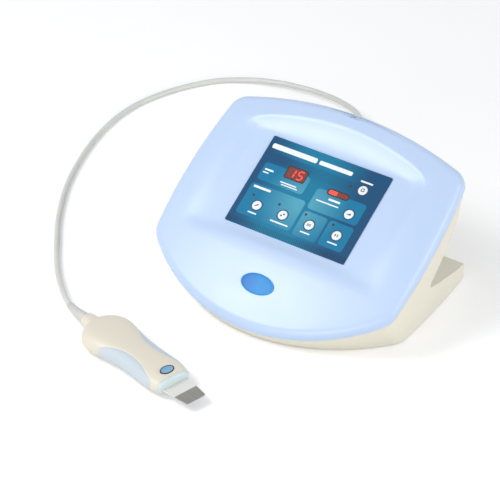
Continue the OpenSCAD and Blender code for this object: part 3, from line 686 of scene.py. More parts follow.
@dataclass(frozen=True)
class Studio:
    """Plain pale floor, soft lamps and a camera above and to the right of the console's front."""

    azimuth: float = 34.83
    elevation: float = 34.32
    distance: float = 2.2
    focal_mm: float = 180.46
    aim: tuple[float, float, float] = (0.0, 0.0, 0.089)
    aim_right: float = 0.05097
    aim_up: float = 0.04512
    around: float = 0.5
    floor_side: float = 6.0
    floor_lift: float = 0.28
    lamps: tuple[tuple[str, tuple[float, float, float], float, float], ...] = (
        ("key", (-0.76, -0.8, 1.32), 0.62, 11.5),
        ("side", (1.5, 0.38, 0.42), 1.0, 11.0),
        ("front", (0.2, -1.75, 0.22), 1.2, 13.0),
    )

    def axes(self) -> tuple[Vector, Vector, Vector]:
        """Right, up and backward directions of the camera."""
        a, e = math.radians(self.azimuth), math.radians(self.elevation)
        back = Vector((math.sin(a) * math.cos(e), -math.cos(a) * math.cos(e), math.sin(e)))
        right = Vector((math.cos(a), math.sin(a), 0.0))
        return right, back.cross(right), back

    def camera(self) -> None:
        """Makes the camera and sets it as the scene's."""
        right, up, back = self.axes()
        data = bpy.data.cameras.new("camera")
        data.sensor_width = 36.0
        data.lens = self.focal_mm
        data.clip_end = 20.0
        obj = bpy.data.objects.new("camera", data)
        bpy.context.scene.collection.objects.link(obj)
        place = Vector(self.aim) - right * self.aim_right - up * self.aim_up + back * self.distance
        turn = Matrix((right, up, back)).transposed().to_4x4()
        obj.matrix_world = Matrix.Translation(place) @ turn
        bpy.context.scene.camera = obj

    def lamp(self, name: str, at: Vector, size: float, watts: float) -> None:
        """Adds a square soft lamp that faces the console.

        Args:
            name: its name.
            at: its place.
            size: its side in metres.
            watts: its power.
        """
        data = bpy.data.lights.new(name, "AREA")
        data.size = size
        data.energy = watts
        obj = bpy.data.objects.new(name, data)
        bpy.context.scene.collection.objects.link(obj)
        obj.location = at
        obj.rotation_euler = (Vector((0, 0, 0.05)) - at).to_track_quat("-Z", "Y").to_euler()

    def lights(self) -> None:
        """Adds the lamps and the even surrounding light."""
        for name, at, size, watts in self.lamps:
            self.lamp(name, Vector(at), size, watts)
        world = bpy.data.worlds.new("world")
        world.use_nodes = True
        tree = world.node_tree
        sky = tree.nodes["Background"]
        sky.inputs["Color"].default_value = (0.95, 0.97, 1.0, 1.0)
        sky.inputs["Strength"].default_value = self.around
        seen = tree.nodes.new("ShaderNodeBackground")
        seen.inputs["Color"].default_value = (1.0, 1.0, 1.0, 1.0)
        seen.inputs["Strength"].default_value = 1.0
        choose = tree.nodes.new("ShaderNodeMixShader")
        tree.links.new(white_background_rays(tree), choose.inputs["Fac"])
        tree.links.new(sky.outputs["Background"], choose.inputs[1])
        tree.links.new(seen.outputs["Background"], choose.inputs[2])
        tree.links.new(choose.outputs["Shader"], tree.nodes["World Output"].inputs["Surface"])
        bpy.context.scene.world = world

    def floor(self) -> None:
        """Adds the floor, which keeps the object's shadow and is seen as white around it."""
        side = self.floor_side
        obj = mesh_object("floor", [Vector((x, y, 0.0)) for x, y in
                                    ((-side, -side), (side, -side), (side, side), (-side, side))], [(0, 1, 2, 3)])
        g = Graph("floor_white")
        g.set(Roughness=0.9, Specular_IOR_Level=0.1)
        tone = g.ramp(g.noise(g.place(), 3.0, 2.0), [(0.2, (0.83, 0.83, 0.83, 1)), (0.8, (0.85, 0.85, 0.85, 1))])
        g.join(tone, g.surface.inputs["Base Color"])
        glow = g.add("ShaderNodeEmission")
        lift = g.add("ShaderNodeMath", operation="MULTIPLY")
        lift.inputs[1].default_value = self.floor_lift
        g.join(white_background_rays(g.tree), lift.inputs[0])
        g.join(lift.outputs["Value"], glow.inputs["Strength"])
        both = g.add("ShaderNodeAddShader")
        g.join(g.surface.outputs["BSDF"], both.inputs[0])
        g.join(glow.outputs["Emission"], both.inputs[1])
        g.join(both.outputs["Shader"], g.tree.nodes["Material Output"].inputs["Surface"])
        obj.data.materials.append(g.material)


# ---------------------------------------------------------------------------
# Lead
# ---------------------------------------------------------------------------

LEAD_ROUTE: tuple[tuple[float, float, float], ...] = (
    (-45, 67.6, 56.2), (-45, 76, 47.2), (-46, 90, 36.5), (-48, 108, 28.5), (-52, 130, 23), (-58, 154, 19.5),
    (-65, 178, 17), (-74, 203, 15), (-85, 225, 13.8), (-97, 241, 13), (-111, 254, 12.3), (-128, 262, 11.3),
    (-146, 267, 10.3), (-162, 269, 9.4), (-177, 270, 8.5), (-192, 269, 7.6), (-206, 268, 6.7), (-219, 265, 5.8),
    (-231, 262, 4.9), (-243, 257, 4), (-254, 251, 3.2), (-265, 243, 2.8), (-274, 233, 2.8), (-283, 220, 2.8),
    (-291, 206, 2.8), (-298, 190, 2.8), (-304, 172, 2.8), (-308, 152, 2.8), (-309, 130, 2.8), (-307, 107, 2.8),
    (-302, 81, 2.8), (-294, 53, 2.8), (-284, 25, 2.8), (-271, -4, 2.8), (-256, -31, 2.8), (-240, -56, 2.8),
    (-222, -80, 2.8), (-205, -102, 2.8), (-188, -121, 2.9), (-172, -136.5, 4), (-157.5, -149.5, 6),
    (-145, -158.2, 7.8),
)


@dataclass
class Lead:
    """The grey lead from the console's back to the handpiece's tail."""

    diameter: float = 5.5
    sides: int = 20
    steps: int = 5
    lift_from_y: float = -0.03
    lift_to_y: float = -0.158

    def path(self) -> list[Vector]:
        """The centreline, smoothed through the route's points, in metres."""
        p = [Vector(q) * MM for q in LEAD_ROUTE]
        out: list[Vector] = []
        for i in range(len(p) - 1):
            a, b, c, d = p[max(i - 1, 0)], p[i], p[i + 1], p[min(i + 2, len(p) - 1)]
            for k in range(self.steps):
                t = k / self.steps
                out.append(0.5 * (2 * b + (c - a) * t + (2 * a - 5 * b + 4 * c - d) * t * t
                                  + (3 * b - a - 3 * c + d) * t ** 3))
        out.append(p[-1])
        return out

    def build(self) -> bpy.types.Object:
        path = self.path()
        radius = self.diameter * MM / 2 * 0.99
        points: list[Vector] = []
        for i, centre in enumerate(path):
            ahead = (path[min(i + 1, len(path) - 1)] - path[max(i - 1, 0)]).normalized()
            side = ahead.cross(Vector((0, 0, 1))).normalized()
            up = side.cross(ahead)
            for j in range(self.sides):
                a = 2 * math.pi * j / self.sides
                points.append(centre + radius * (math.cos(a) * side + math.sin(a) * up))
        obj = mesh_object("lead_sheath", points, ring_faces(len(path), self.sides, False, capped=True))
        finish = SoftRubber("lead_grey", (216, 217, 212), 0.35).make()
        obj.data.materials.append(finish)
        obj.data.shade_smooth()
        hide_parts("lead")
        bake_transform(obj)
        return obj


# ---------------------------------------------------------------------------
# Console
# ---------------------------------------------------------------------------


@dataclass
class Outline:
    """Outline of the cover and housing in the keypad's plane: three long arcs and four round corners."""

    half_w: float = 127.5
    reach_up: float = 91.5
    reach_down: float = 129.5
    top_r: float = 390.0
    side_r: float = 600.0
    bottom_r: float = 172.0
    upper_corner_r: float = 16.0
    lower_corner_r: float = 22.0
    side_mid_v: float = -18.0
    density: int = 4

    def _touching(self, c1: Flat, d1: float, c2: Flat, d2: float, side: float) -> Flat:
        """Centre of a corner circle that touches two arcs from inside.

        Args:
            c1: first arc's centre.
            d1: distance to it.
            c2: second arc's centre.
            d2: distance to it.
            side: which of the two solutions, 1 or -1.

        Returns:
            The centre.
        """
        dx, dy = c2[0] - c1[0], c2[1] - c1[1]
        gap = math.hypot(dx, dy)
        a = (d1 * d1 - d2 * d2 + gap * gap) / (2 * gap)
        h = math.sqrt(max(0.0, d1 * d1 - a * a))
        return (c1[0] + a * dx / gap - side * h * dy / gap, c1[1] + a * dy / gap + side * h * dx / gap)

    def points(self, off: float) -> list[Flat]:
        """The outline moved out by off, clockwise from the top's middle."""
        top = (0.0, self.reach_up - self.top_r)
        side = (self.half_w - self.side_r, self.side_mid_v)
        bottom = (0.0, self.bottom_r - self.reach_down)
        ur, lr = max(self.upper_corner_r + off, 2.0), max(self.lower_corner_r + off, 2.0)
        tr, sr, br = self.top_r + off, self.side_r + off, self.bottom_r + off
        uc = self._touching(top, tr - ur, side, sr - ur, -1)
        lc = self._touching(bottom, br - lr, side, sr - lr, 1)

        def bearing(c: Flat, p: Flat) -> float:
            """Direction from one point to another, in degrees."""
            return math.degrees(math.atan2(p[1] - c[1], p[0] - c[0]))

        arcs = (
            (top, tr, 90.0, bearing(top, uc), 7, 0), (uc, ur, bearing(top, uc), bearing(side, uc), 5, 1),
            (side, sr, bearing(side, uc), bearing(side, lc), 6, 1),
            (lc, lr, bearing(side, lc), bearing(bottom, lc), 6, 1), (bottom, br, bearing(bottom, lc), -90.0, 9, 1),
        )
        half: list[Flat] = []
        for centre, r, start, end, n, first in arcs:
            n *= self.density
            for i in range(first, n + 1):
                a = math.radians(start + (end - start) * i / n)
                half.append((centre[0] + r * math.cos(a), centre[1] + r * math.sin(a)))
        return half + [(-x, y) for x, y in reversed(half[1:-1])]


@dataclass
class FrontCover:
    """The pale blue front cover: a crowned face with a dished field around the keypad."""

    face: FaceFrame
    outline: Outline = field(default_factory=Outline)
    depth: float = 14.0
    wall: float = 2.6
    edge_r: float = 7.0
    crown_h: float = 6.4
    crown_v: float = 17.0
    crown_u_rate: float = 0.00049
    crown_v_rate: float = 0.00053
    panel_t: float = 1.2
    recess_half_w: float = 91.0
    recess_top: float = 74.0
    recess_tip: float = 55.0
    recess_bottom: float = 51.0
    floor_half_w: float = 80.0
    floor_top: float = 49.0
    floor_bottom: float = 47.0
    opening: Flat = (55.0, 37.0)
    roll: float = 14.0
    soft_side: float = 5.0
    soft_bottom: float = 7.0
    corner_power: float = 15.0

    def crown(self, p: Flat) -> float:
        """Height of the crowned face over the keypad's plane."""
        return self.crown_h - self.crown_u_rate * p[0] ** 2 - self.crown_v_rate * (p[1] - self.crown_v) ** 2

    def box_edge(self, p: Flat, half_w: float, up: float, tip: float, down: float) -> Flat:
        """Where the ray towards p meets a box with a bowed top and soft corners.

        Args:
            p: the point looked towards.
            half_w: the box's half width.
            up: the bowed top's height in the middle.
            tip: the top's height at the sides.
            down: the box's depth under the centre.

        Returns:
            The point on the box's edge.
        """
        size = math.hypot(*p)
        dx, dy = p[0] / size, p[1] / size
        side = half_w / max(abs(dx), 0.001)
        bow = (up - tip) * (dx / half_w) ** 2
        if dy < 0:
            level = down / max(-dy, 0.001)
        elif bow < 1e-6:
            level = up / max(dy, 0.001)
        else:
            level = (math.sqrt(dy * dy + 4 * bow * up) - dy) / (2 * bow)
        k = self.corner_power
        reach = (side ** -k + level ** -k) ** (-1 / k)
        return (dx * reach, dy * reach)

    def crisp(self, p: Flat) -> float:
        """How sharply the face breaks into the dished field: 1 along its top, 0 elsewhere."""
        return ease((p[1] / math.hypot(*p) - 0.42) / 0.16)

    def lip(self, p: Flat) -> float:
        """How far the face has rolled down where it meets the dished field."""
        return 0.9 * (1 - self.crisp(p))

    def rings(self) -> list[list[tuple[float, float, float]]]:
        """All rings of the cover, from the rim over the face and back along the inside."""
        rim = self.outline.points(0.0)

        def at(points: Sequence[Flat], w: float) -> list[tuple[float, float, float]]:
            """The points at one height over the keypad."""
            return [(x, y, w) for x, y in points]

        def on_crown(points: Sequence[Flat], down: float) -> list[tuple[float, float, float]]:
            """The points on the crowned face, sunk a little."""
            return [(x, y, self.crown((x, y)) - down) for x, y in points]

        out = [at(self.outline.points(-0.55), -self.depth), at(self.outline.points(-0.15), -self.depth + 0.18),
               at(rim, -self.depth + 0.5)]
        steps = 10
        for k in range(steps + 1):
            a = math.radians(90 * k / steps)
            out.append(on_crown(self.outline.points(-self.edge_r * (1 - math.cos(a))),
                                self.edge_r * (1 - math.sin(a))))
        edge = self.outline.points(-self.edge_r)
        recess = [self.box_edge(p, self.recess_half_w + self.soft_side, self.recess_top, self.recess_tip,
                                self.recess_bottom + self.soft_bottom) for p in rim]
        floor = [self.box_edge(p, self.floor_half_w, self.floor_top, self.floor_top, self.floor_bottom) for p in rim]
        # the face rolls down gently to the dished field's edge
        outer: list[Flat] = []
        for p in recess:
            size = math.hypot(*p)
            outer.append((p[0] * (1 + self.roll / size), p[1] * (1 + self.roll / size)))
        for t in (0.25, 0.5, 0.75):
            out.append(on_crown([(mix(a[0], b[0], t), mix(a[1], b[1], t)) for a, b in zip(edge, outer)], 0.0))
        for k in range(9):
            t = k / 8
            ring = []
            for a, b in zip(outer, recess):
                p = (mix(a[0], b[0], t), mix(a[1], b[1], t))
                ring.append((p[0], p[1], self.crown(p) - self.lip(p) * t * t))
            out.append(ring)
        for k in range(1, 9):
            t = k / 8
            ring = []
            for a, b in zip(recess, floor):
                p = (mix(a[0], b[0], t), mix(a[1], b[1], t))
                high = self.crown(a) - self.lip(a)
                crisp = self.crisp(a)
                blend = mix(mix(t, ease(t), 0.75), 1 - (1 - t) ** 1.7, crisp)
                ring.append((p[0], p[1], mix(high, -self.panel_t, blend)))
            out.append(ring)
        middle = [self.box_edge(p, 64.0, 46.5, 46.5, 46.5) for p in rim]
        hole = [self.box_edge(p, self.opening[0], self.opening[1], self.opening[1], self.opening[1]) for p in rim]
        out += [at(middle, -self.panel_t), at(hole, -self.panel_t), at(hole, -self.panel_t - self.wall),
                at(floor, -self.panel_t - self.wall),
                on_crown([(x * 1.02, y * 1.02) for x, y in recess], self.wall + 2.4),
                on_crown(self.outline.points(-self.edge_r - 0.5), self.wall),
                on_crown(self.outline.points(-self.wall - 1.0), self.wall + 3.0),
                at(self.outline.points(-self.wall), -self.depth)]
        return out

    def build(self) -> bpy.types.Object:
        """Makes the cover."""
        rings = self.rings()
        count = len(rings[0])
        points = [self.face.at(*p) for ring in rings for p in ring]
        obj = mesh_object("front_cover_shell", points, ring_faces(len(rings), count, True))
        finish = MouldedPlastic("cover_pale_blue", (191, 212, 242), 0.3, grain=0.00001, drift=0.01).make()
        finish_piece(obj, [finish], Body.CONSOLE.value, ["front_cover"], sharp=50.0)
        LOG.info("front cover, %d points", len(points))
        return obj


@dataclass
class FlatShape:
    """A printed or raised shape on the face: its outline and its place."""

    points: list[Flat]
    low: float
    high: float


def rounded_box(u0: float, v0: float, u1: float, v1: float, r: float, low: float, high: float,
                n: int = 5) -> FlatShape:
    """A rectangle with round corners.

    Args:
        u0: left side.
        v0: lower side.
        u1: right side.
        v1: upper side.
        r: corner radius.
        low: underside's height over the keypad.
        high: top's height.
        n: steps in a corner.

    Returns:
        The shape.
    """
    r = min(r, (u1 - u0) / 2 - 1e-4, (v1 - v0) / 2 - 1e-4)
    points: list[Flat] = []
    for cx, cy, start in ((u1 - r, v1 - r, 0), (u0 + r, v1 - r, 90), (u0 + r, v0 + r, 180), (u1 - r, v0 + r, 270)):
        for i in range(n + 1):
            a = math.radians(start + 90 * i / n)
            points.append((cx + r * math.cos(a), cy + r * math.sin(a)))
    return FlatShape(points, low, high)


def disc(u: float, v: float, r: float, low: float, high: float, n: int = 36) -> FlatShape:
    """A round disc."""
    return FlatShape([(u + r * math.cos(2 * math.pi * i / n), v + r * math.sin(2 * math.pi * i / n))
                      for i in range(n)], low, high)


def prisms(name: str, shapes: Sequence[FlatShape], frame: Matrix) -> bpy.types.Object:
    """Makes one object of several closed prisms that stand on a plane.

    Args:
        name: the object's name.
        shapes: the prisms' outlines and heights, in millimetres.
        frame: the plane's place in the row frame.

    Returns:
        The object.
    """
    points: list[Vector] = []
    faces: list[tuple[int, ...]] = []
    for shape in shapes:
        n, start = len(shape.points), len(points)
        for w in (shape.low, shape.high):
            points += [frame @ Vector((u * MM, v * MM, w * MM)) for u, v in shape.points]
        faces.append(tuple(start + j for j in reversed(range(n))))
        faces.append(tuple(start + n + j for j in range(n)))
        faces += [(start + j, start + (j + 1) % n, start + n + (j + 1) % n, start + n + j) for j in range(n)]
    return mesh_object(name, points, faces)


def annulus(name: str, places: Sequence[Flat], inner: float, outer: float, low: float, high: float,
            frame: Matrix) -> bpy.types.Object:
    """Makes flat rings about several places.

    Args:
        name: the object's name.
        places: their centres.
        inner: inner radius.
        outer: outer radius.
        low: underside's height.
        high: top's height.
        frame: the plane's place in the row frame.

    Returns:
        The object.
    """
    n = 48
    points: list[Vector] = []
    faces: list[tuple[int, ...]] = []
    for u, v in places:
        start = len(points)
        for r, w in ((inner, low), (inner, high), (outer, high), (outer, low)):
            points += [frame @ Vector(((u + r * math.cos(2 * math.pi * i / n)) * MM,
                                       (v + r * math.sin(2 * math.pi * i / n)) * MM, w * MM)) for i in range(n)]
        faces += [tuple(start + k for k in f) for f in ring_faces(4, n, True)]
    return mesh_object(name, points, faces)


@dataclass
class Badge:
    """A blank oval badge: a dark rim around a domed field."""

    name: str
    frame: Matrix
    half_u: float
    half_v: float
    rim: float
    height: float
    dome: float
    node: str
    body: str

    def build(self, rim_finish: bpy.types.Material, field_finish: bpy.types.Material) -> bpy.types.Object:
        """Makes the badge.

        Args:
            rim_finish: material of the rim.
            field_finish: material of the field.

        Returns:
            The badge.
        """
        n = 64
        grow = [(1.0, 0.0), (1.0, self.height * 0.6), (0.985, self.height)]
        inner = 1 - self.rim / self.half_v
        rings = grow + [(inner + 0.015, self.height), (inner, self.height * 0.8)]
        rings += [(inner * math.cos(a), self.height * 0.8 + self.dome * math.sin(a))
                  for a in (math.radians(90 * k / 8) for k in range(1, 8))]
        points = [self.frame @ Vector((self.half_u * s * math.cos(2 * math.pi * j / n) * MM,
                                       self.half_v * s * math.sin(2 * math.pi * j / n) * MM, w * MM))
                  for s, w in rings for j in range(n)]
        faces = ring_faces(len(rings), n, False, capped=True)
        indices = [0 if i // n < 4 else 1 for i in range(len(faces) - 2)] + [0, 1]
        obj = mesh_object(self.name, points, faces, indices)
        return finish_piece(obj, [rim_finish, field_finish], self.body, [self.node], sharp=60.0)


@dataclass
class Keypad:
    """The film keypad with its printed fields, displays, keys and lamps."""

    face: FaceFrame
    half_w: float = 62.5
    half_h: float = 45.5
    key_r: float = 4.4
    window_at: Flat = (-22.5, 17.3)
    window: Flat = (21.0, 12.5)
    bar_at: Flat = (24.2, 13.3)
    bar: Flat = (22.0, 6.0)
    print_h: float = 0.05
    keys: tuple[tuple[str, float, float], ...] = (
        ("key_on_off", 43.0, 25.0), ("key_power", 43.0, -0.5), ("key_program_a", -41.0, -23.0),
        ("key_program_b", -13.5, -23.0), ("key_pulse", 14.5, -23.0), ("key_pause", 43.0, -23.0),
    )

    def ride(self, obj: bpy.types.Object, finish: bpy.types.Material) -> None:
        """Dresses a printed shape and lets it ride on the console."""
        finish_piece(obj, [finish], Body.CONSOLE.value, sharp=30.0)

    def fields(self) -> None:
        """The printed fields behind the groups of keys."""
        frame, h = self.face.matrix(), self.print_h
        near = PrintedPatch("print_field", frame, (84, 162, 186), (22, 120, 160), 48.0).make()
        corners = ((-55.6, 1.0, -7.5, 19.2), (-57.0, -35.4, 0.2, -3.2), (3.2, -8.6, 54.6, 13.2),
                   (3.2, -36.6, 28.0, -11.2), (30.2, -36.6, 55.0, -11.2))
        boxes = [rounded_box(*corner, 3.0, 0.004, h) for corner in corners]
        self.ride(prisms("print_fields", boxes, frame), near)

    def marks(self) -> None:
        """Plain white bars where a panel carries its labels."""
        frame, low, high = self.face.matrix(), self.print_h * 0.5, self.print_h * 1.7
        white = MouldedPlastic("print_white", (238, 243, 245), 0.35, drift=0.01).make()
        bars = [(-58.5, 33.6, -11.0, 38.6), (-8.5, 33.9, 26.0, 38.0), (-53.0, 11.5, -44.0, 13.2),
                (-53.5, 8.6, -47.5, 9.8),
                (-33.0, 5.3, -16.0, 6.5), (-31.0, 3.2, -14.0, 4.2), (-54.0, -7.4, -36.0, -5.2),
                (-46.0, -31.8, -37.0, -30.5), (-22.0, -32.0, -3.5, -30.6), (9.5, -31.8, 19.5, -30.5),
                (38.0, -31.8, 48.0, -30.5), (18.0, 5.2, 30.0, 7.2), (7.5, 1.2, 30.5, 2.4), (36.5, 32.2, 49.0, 33.8)]
        shapes = [rounded_box(a, b, c, d, (d - b) * 0.32, low, high) for a, b, c, d in bars]
        self.ride(prisms("print_bars", shapes, frame), white)

    def segments(self) -> None:
        """The two-digit display, which shows a plain 15, and the half-lit power bar; the unlit segments and the bar's
        unlit half carry a faint painted glow.
        """
        frame = self.face.matrix()
        glow = LitSegment("segment_red", (255, 62, 44), 0.9).make()
        # painted glow: the unlit segments and the bar's unlit half get a faint emission although they are not lit
        unlit_painted_glow = LitSegment("segment_unlit_painted_glow", (120, 26, 14), 0.25).make()
        cu, cv = self.window_at
        lit = {"left": "bc", "right": "acdfg"}
        bright: list[FlatShape] = []
        dull: list[FlatShape] = []
        for side, offset in (("left", -4.3), ("right", 4.3)):
            for key, points in self.digit(cu + offset, cv).items():
                (bright if key in lit[side] else dull).append(FlatShape(points, 0.06, 0.1))
        bu, bv = self.bar_at
        bright.append(rounded_box(bu - 9.6, bv - 1.9, bu - 1.2, bv + 1.9, 1.2, 0.06, 0.1))
        dull.append(rounded_box(bu - 0.6, bv - 1.9, bu + 9.6, bv + 1.9, 1.2, 0.06, 0.1))
        self.ride(prisms("display_lit", bright, frame), glow)
        self.ride(prisms("display_unlit", dull, frame), unlit_painted_glow)

    def digit(self, u: float, v: float) -> dict[str, list[Flat]]:
        """Outlines of a slanted seven-segment digit.

        Args:
            u: its middle across.
            v: its middle along the slope.

        Returns:
            Each segment's letter with its outline.
        """
        w, h, t, slant = 2.4, 4.1, 0.62, 0.09

        def bar(x0: float, y0: float, x1: float, y1: float) -> list[Flat]:
            """Outline of a segment with pointed ends."""
            dx, dy = x1 - x0, y1 - y0
            size = math.hypot(dx, dy)
            ax, ay = dx / size, dy / size
            nx, ny = -ay, ax
            flat = [(x0 + ax * 0.35, y0 + ay * 0.35), (x0 + ax * t + nx * t, y0 + ay * t + ny * t),
                    (x1 - ax * t + nx * t, y1 - ay * t + ny * t), (x1 - ax * 0.35, y1 - ay * 0.35),
                    (x1 - ax * t - nx * t, y1 - ay * t - ny * t), (x0 + ax * t - nx * t, y0 + ay * t - ny * t)]
            return [(u + x + slant * y, v + y) for x, y in flat]

        return {"a": bar(-w, h, w, h), "b": bar(w, h, w, 0), "c": bar(w, 0, w, -h), "d": bar(-w, -h, w, -h),
                "e": bar(-w, 0, -w, -h), "f": bar(-w, h, -w, 0), "g": bar(-w, 0, w, 0)}

    def bezels(self) -> None:
        """Dark surrounds of the two displays, and navy rings round the keys that are painted shade of the gap round
        each cap.
        """
        frame = self.face.matrix()
        dark = MouldedPlastic("print_black", (22, 20, 26), 0.3, drift=0.01).make()
        # the navy rings round the keys are painted shade: they stand for the shadow in the gap round each key cap
        navy = MouldedPlastic("key_gap_painted_shade", (18, 58, 92), 0.32, drift=0.01).make()
        for name, (cu, cv), (w, h), r in (("window_surround", self.window_at, self.window, 2.4),
                                          ("bar_surround", self.bar_at, self.bar, 3.0)):
            outer = rounded_box(cu - w / 2 - 0.3, cv - h / 2 - 0.3, cu + w / 2 + 0.3, cv + h / 2 + 0.3,
                                r, 0, 0).points
            inner = rounded_box(cu - w / 2 + 0.7, cv - h / 2 + 0.7, cu + w / 2 - 0.7, cv + h / 2 - 0.7,
                                r - 0.6, 0, 0).points
            n = len(outer)
            points = [frame @ Vector((u * MM, v * MM, z * MM)) for ring, z in
                      ((inner, 0.004), (inner, 0.12), (outer, 0.12), (outer, 0.004)) for u, v in ring]
            self.ride(mesh_object(name, points, ring_faces(4, n, True)), dark)
        places = [(u, v) for _, u, v in self.keys]
        # painted shade of the gap round each key cap, laid on the film as a navy ring
        self.ride(annulus("key_gap_shade_rings", places, self.key_r + 0.38, self.key_r + 1.25, 0.004, 0.07, frame), navy)

    def glyphs(self) -> None:
        """A small plain sign on each key, which moves with the key."""
        frame = self.face.matrix()
        ink = MouldedPlastic("glyph_ink", (28, 84, 116), 0.35, drift=0.01).make()
        low, high = 0.505, 0.56
        for name, u, v in self.keys:
            shapes: list[FlatShape]
            if name == "key_on_off":
                obj = annulus("sign_on_off", [(u, v)], 1.1, 1.9, low, high, frame)
                finish_piece(obj, [ink], name, sharp=30.0)
                continue
            if name == "key_power":
                shapes = [FlatShape([(u - 2.2, v - 0.9), (u + 2.0, v - 0.9), (u + 2.0, v + 1.3)], low, high)]
            elif name == "key_pulse":
                shapes = [rounded_box(u - 2.0 + i * 1.4, v - 1.3, u - 1.2 + i * 1.4, v + 1.3, 0.3, low, high)
                          for i in range(3)]
            elif name == "key_pause":
                shapes = [rounded_box(u - 1.6, v - 1.4, u - 0.6, v + 1.4, 0.3, low, high),
                          rounded_box(u + 0.6, v - 1.4, u + 1.6, v + 1.4, 0.3, low, high)]
            elif name == "key_program_a":
                shapes = [FlatShape([(u - 2.2, v - 1.0), (u - 0.8, v - 1.3), (u + 2.2, v + 0.8), (u + 1.2, v + 1.5)],
                                    low, high)]
            else:
                shapes = [disc(u - 1.0, v - 0.9, 0.9, low, high, 20), disc(u + 1.1, v + 0.9, 0.9, low, high, 20)]
            finish_piece(prisms(name.replace("key", "sign"), shapes, frame), [ink], name, sharp=30.0)

    def caps(self) -> None:
        """Key caps with a softly rounded edge and a flat top, standing for the CAD keys."""
        frame = self.face.matrix()
        white = MouldedPlastic("key_cap_white", (236, 240, 243), 0.3, drift=0.01, coat=0.2).make()
        n = 48
        profile = ((self.key_r + 1.25, -2.2), (self.key_r + 1.25, -1.4), (self.key_r, -1.4), (self.key_r, 0.15),
                   (self.key_r - 0.12, 0.38), (self.key_r - 0.4, 0.5), (self.key_r - 1.0, 0.5), (2.0, 0.5),
                   (0.6, 0.5))
        stem = ((1.5, -2.2), (1.5, -6.3), (0.3, -6.3))
        for name, u, v in self.keys:
            rings = [*reversed(stem), *profile]
            points = [frame @ Vector(((u + r * math.cos(2 * math.pi * j / n)) * MM,
                                      (v + r * math.sin(2 * math.pi * j / n)) * MM, w * MM))
                      for r, w in rings for j in range(n)]
            obj = mesh_object(name + "_cap", points, ring_faces(len(rings), n, False, capped=True))
            finish_piece(obj, [white], name, [name], sharp=40.0)

    def panel(self) -> None:
        """The film itself: a thin slab whose edge is rolled."""
        frame = self.face.matrix()
        film = PrintedFilm("keypad_film_print", frame, self.half_w, self.half_h).make()
        rings = []
        for inset, w in ((0.0, -1.2), (0.0, -0.15), (0.12, 0.0)):
            u, v = self.half_w - inset, self.half_h - inset
            box = rounded_box(-u, -v, u, v, 1.2, 0, 0)
            rings += [frame @ Vector((u * MM, v * MM, w * MM)) for u, v in box.points]
        obj = mesh_object("keypad_film_sheet", rings, ring_faces(3, 24, False, capped=True))
        finish_piece(obj, [film], Body.CONSOLE.value, ["keypad_panel"], sharp=30.0)

    def windows(self, frame: dict[str, Any]) -> None:
        """Gives the displays' windows and the indicator lamps their finishes."""
        red = TintedWindow("window_red", (128, 36, 26)).make()
        dark = TintedWindow("lamp_dark", (20, 24, 34)).make()
        matrix = self.face.matrix()
        cu, cv = self.window_at
        bu, bv = self.bar_at
        w, h = self.window
        bw, bh = self.bar
        shapes = [rounded_box(cu - w / 2, cv - h / 2, cu + w / 2, cv + h / 2, 1.6, 0.002, 0.07)]
        finish_piece(prisms("digit_window_glass", shapes, matrix), [red], Body.CONSOLE.value,
                     ["digit_window"])
        shapes = [rounded_box(bu - bw / 2, bv - bh / 2, bu + bw / 2, bv + bh / 2, 2.4, 0.002, 0.07)]
        finish_piece(prisms("bar_window_glass", shapes, matrix), [red], Body.CONSOLE.value,
                     ["bar_window"])
        lamps = [(30.0, 25.0)] + [(u - 8.2, -14.6) for _, u, v in self.keys if v == -23.0]
        shapes = [disc(u, v, 1.25, 0.004, 0.09, 28) for u, v in lamps]
        finish_piece(prisms("indicator_lamps", shapes, matrix), [dark], Body.CONSOLE.value,
                     ["indicator_lenses"])

    def build(self, frame: dict[str, Any]) -> None:
        """Makes the keypad."""
        self.panel()
        self.fields()
        self.marks()
        self.windows(frame)
        self.segments()
        self.bezels()
        self.caps()
        self.glyphs()
        LOG.info("keypad with %d keys", len(self.keys))


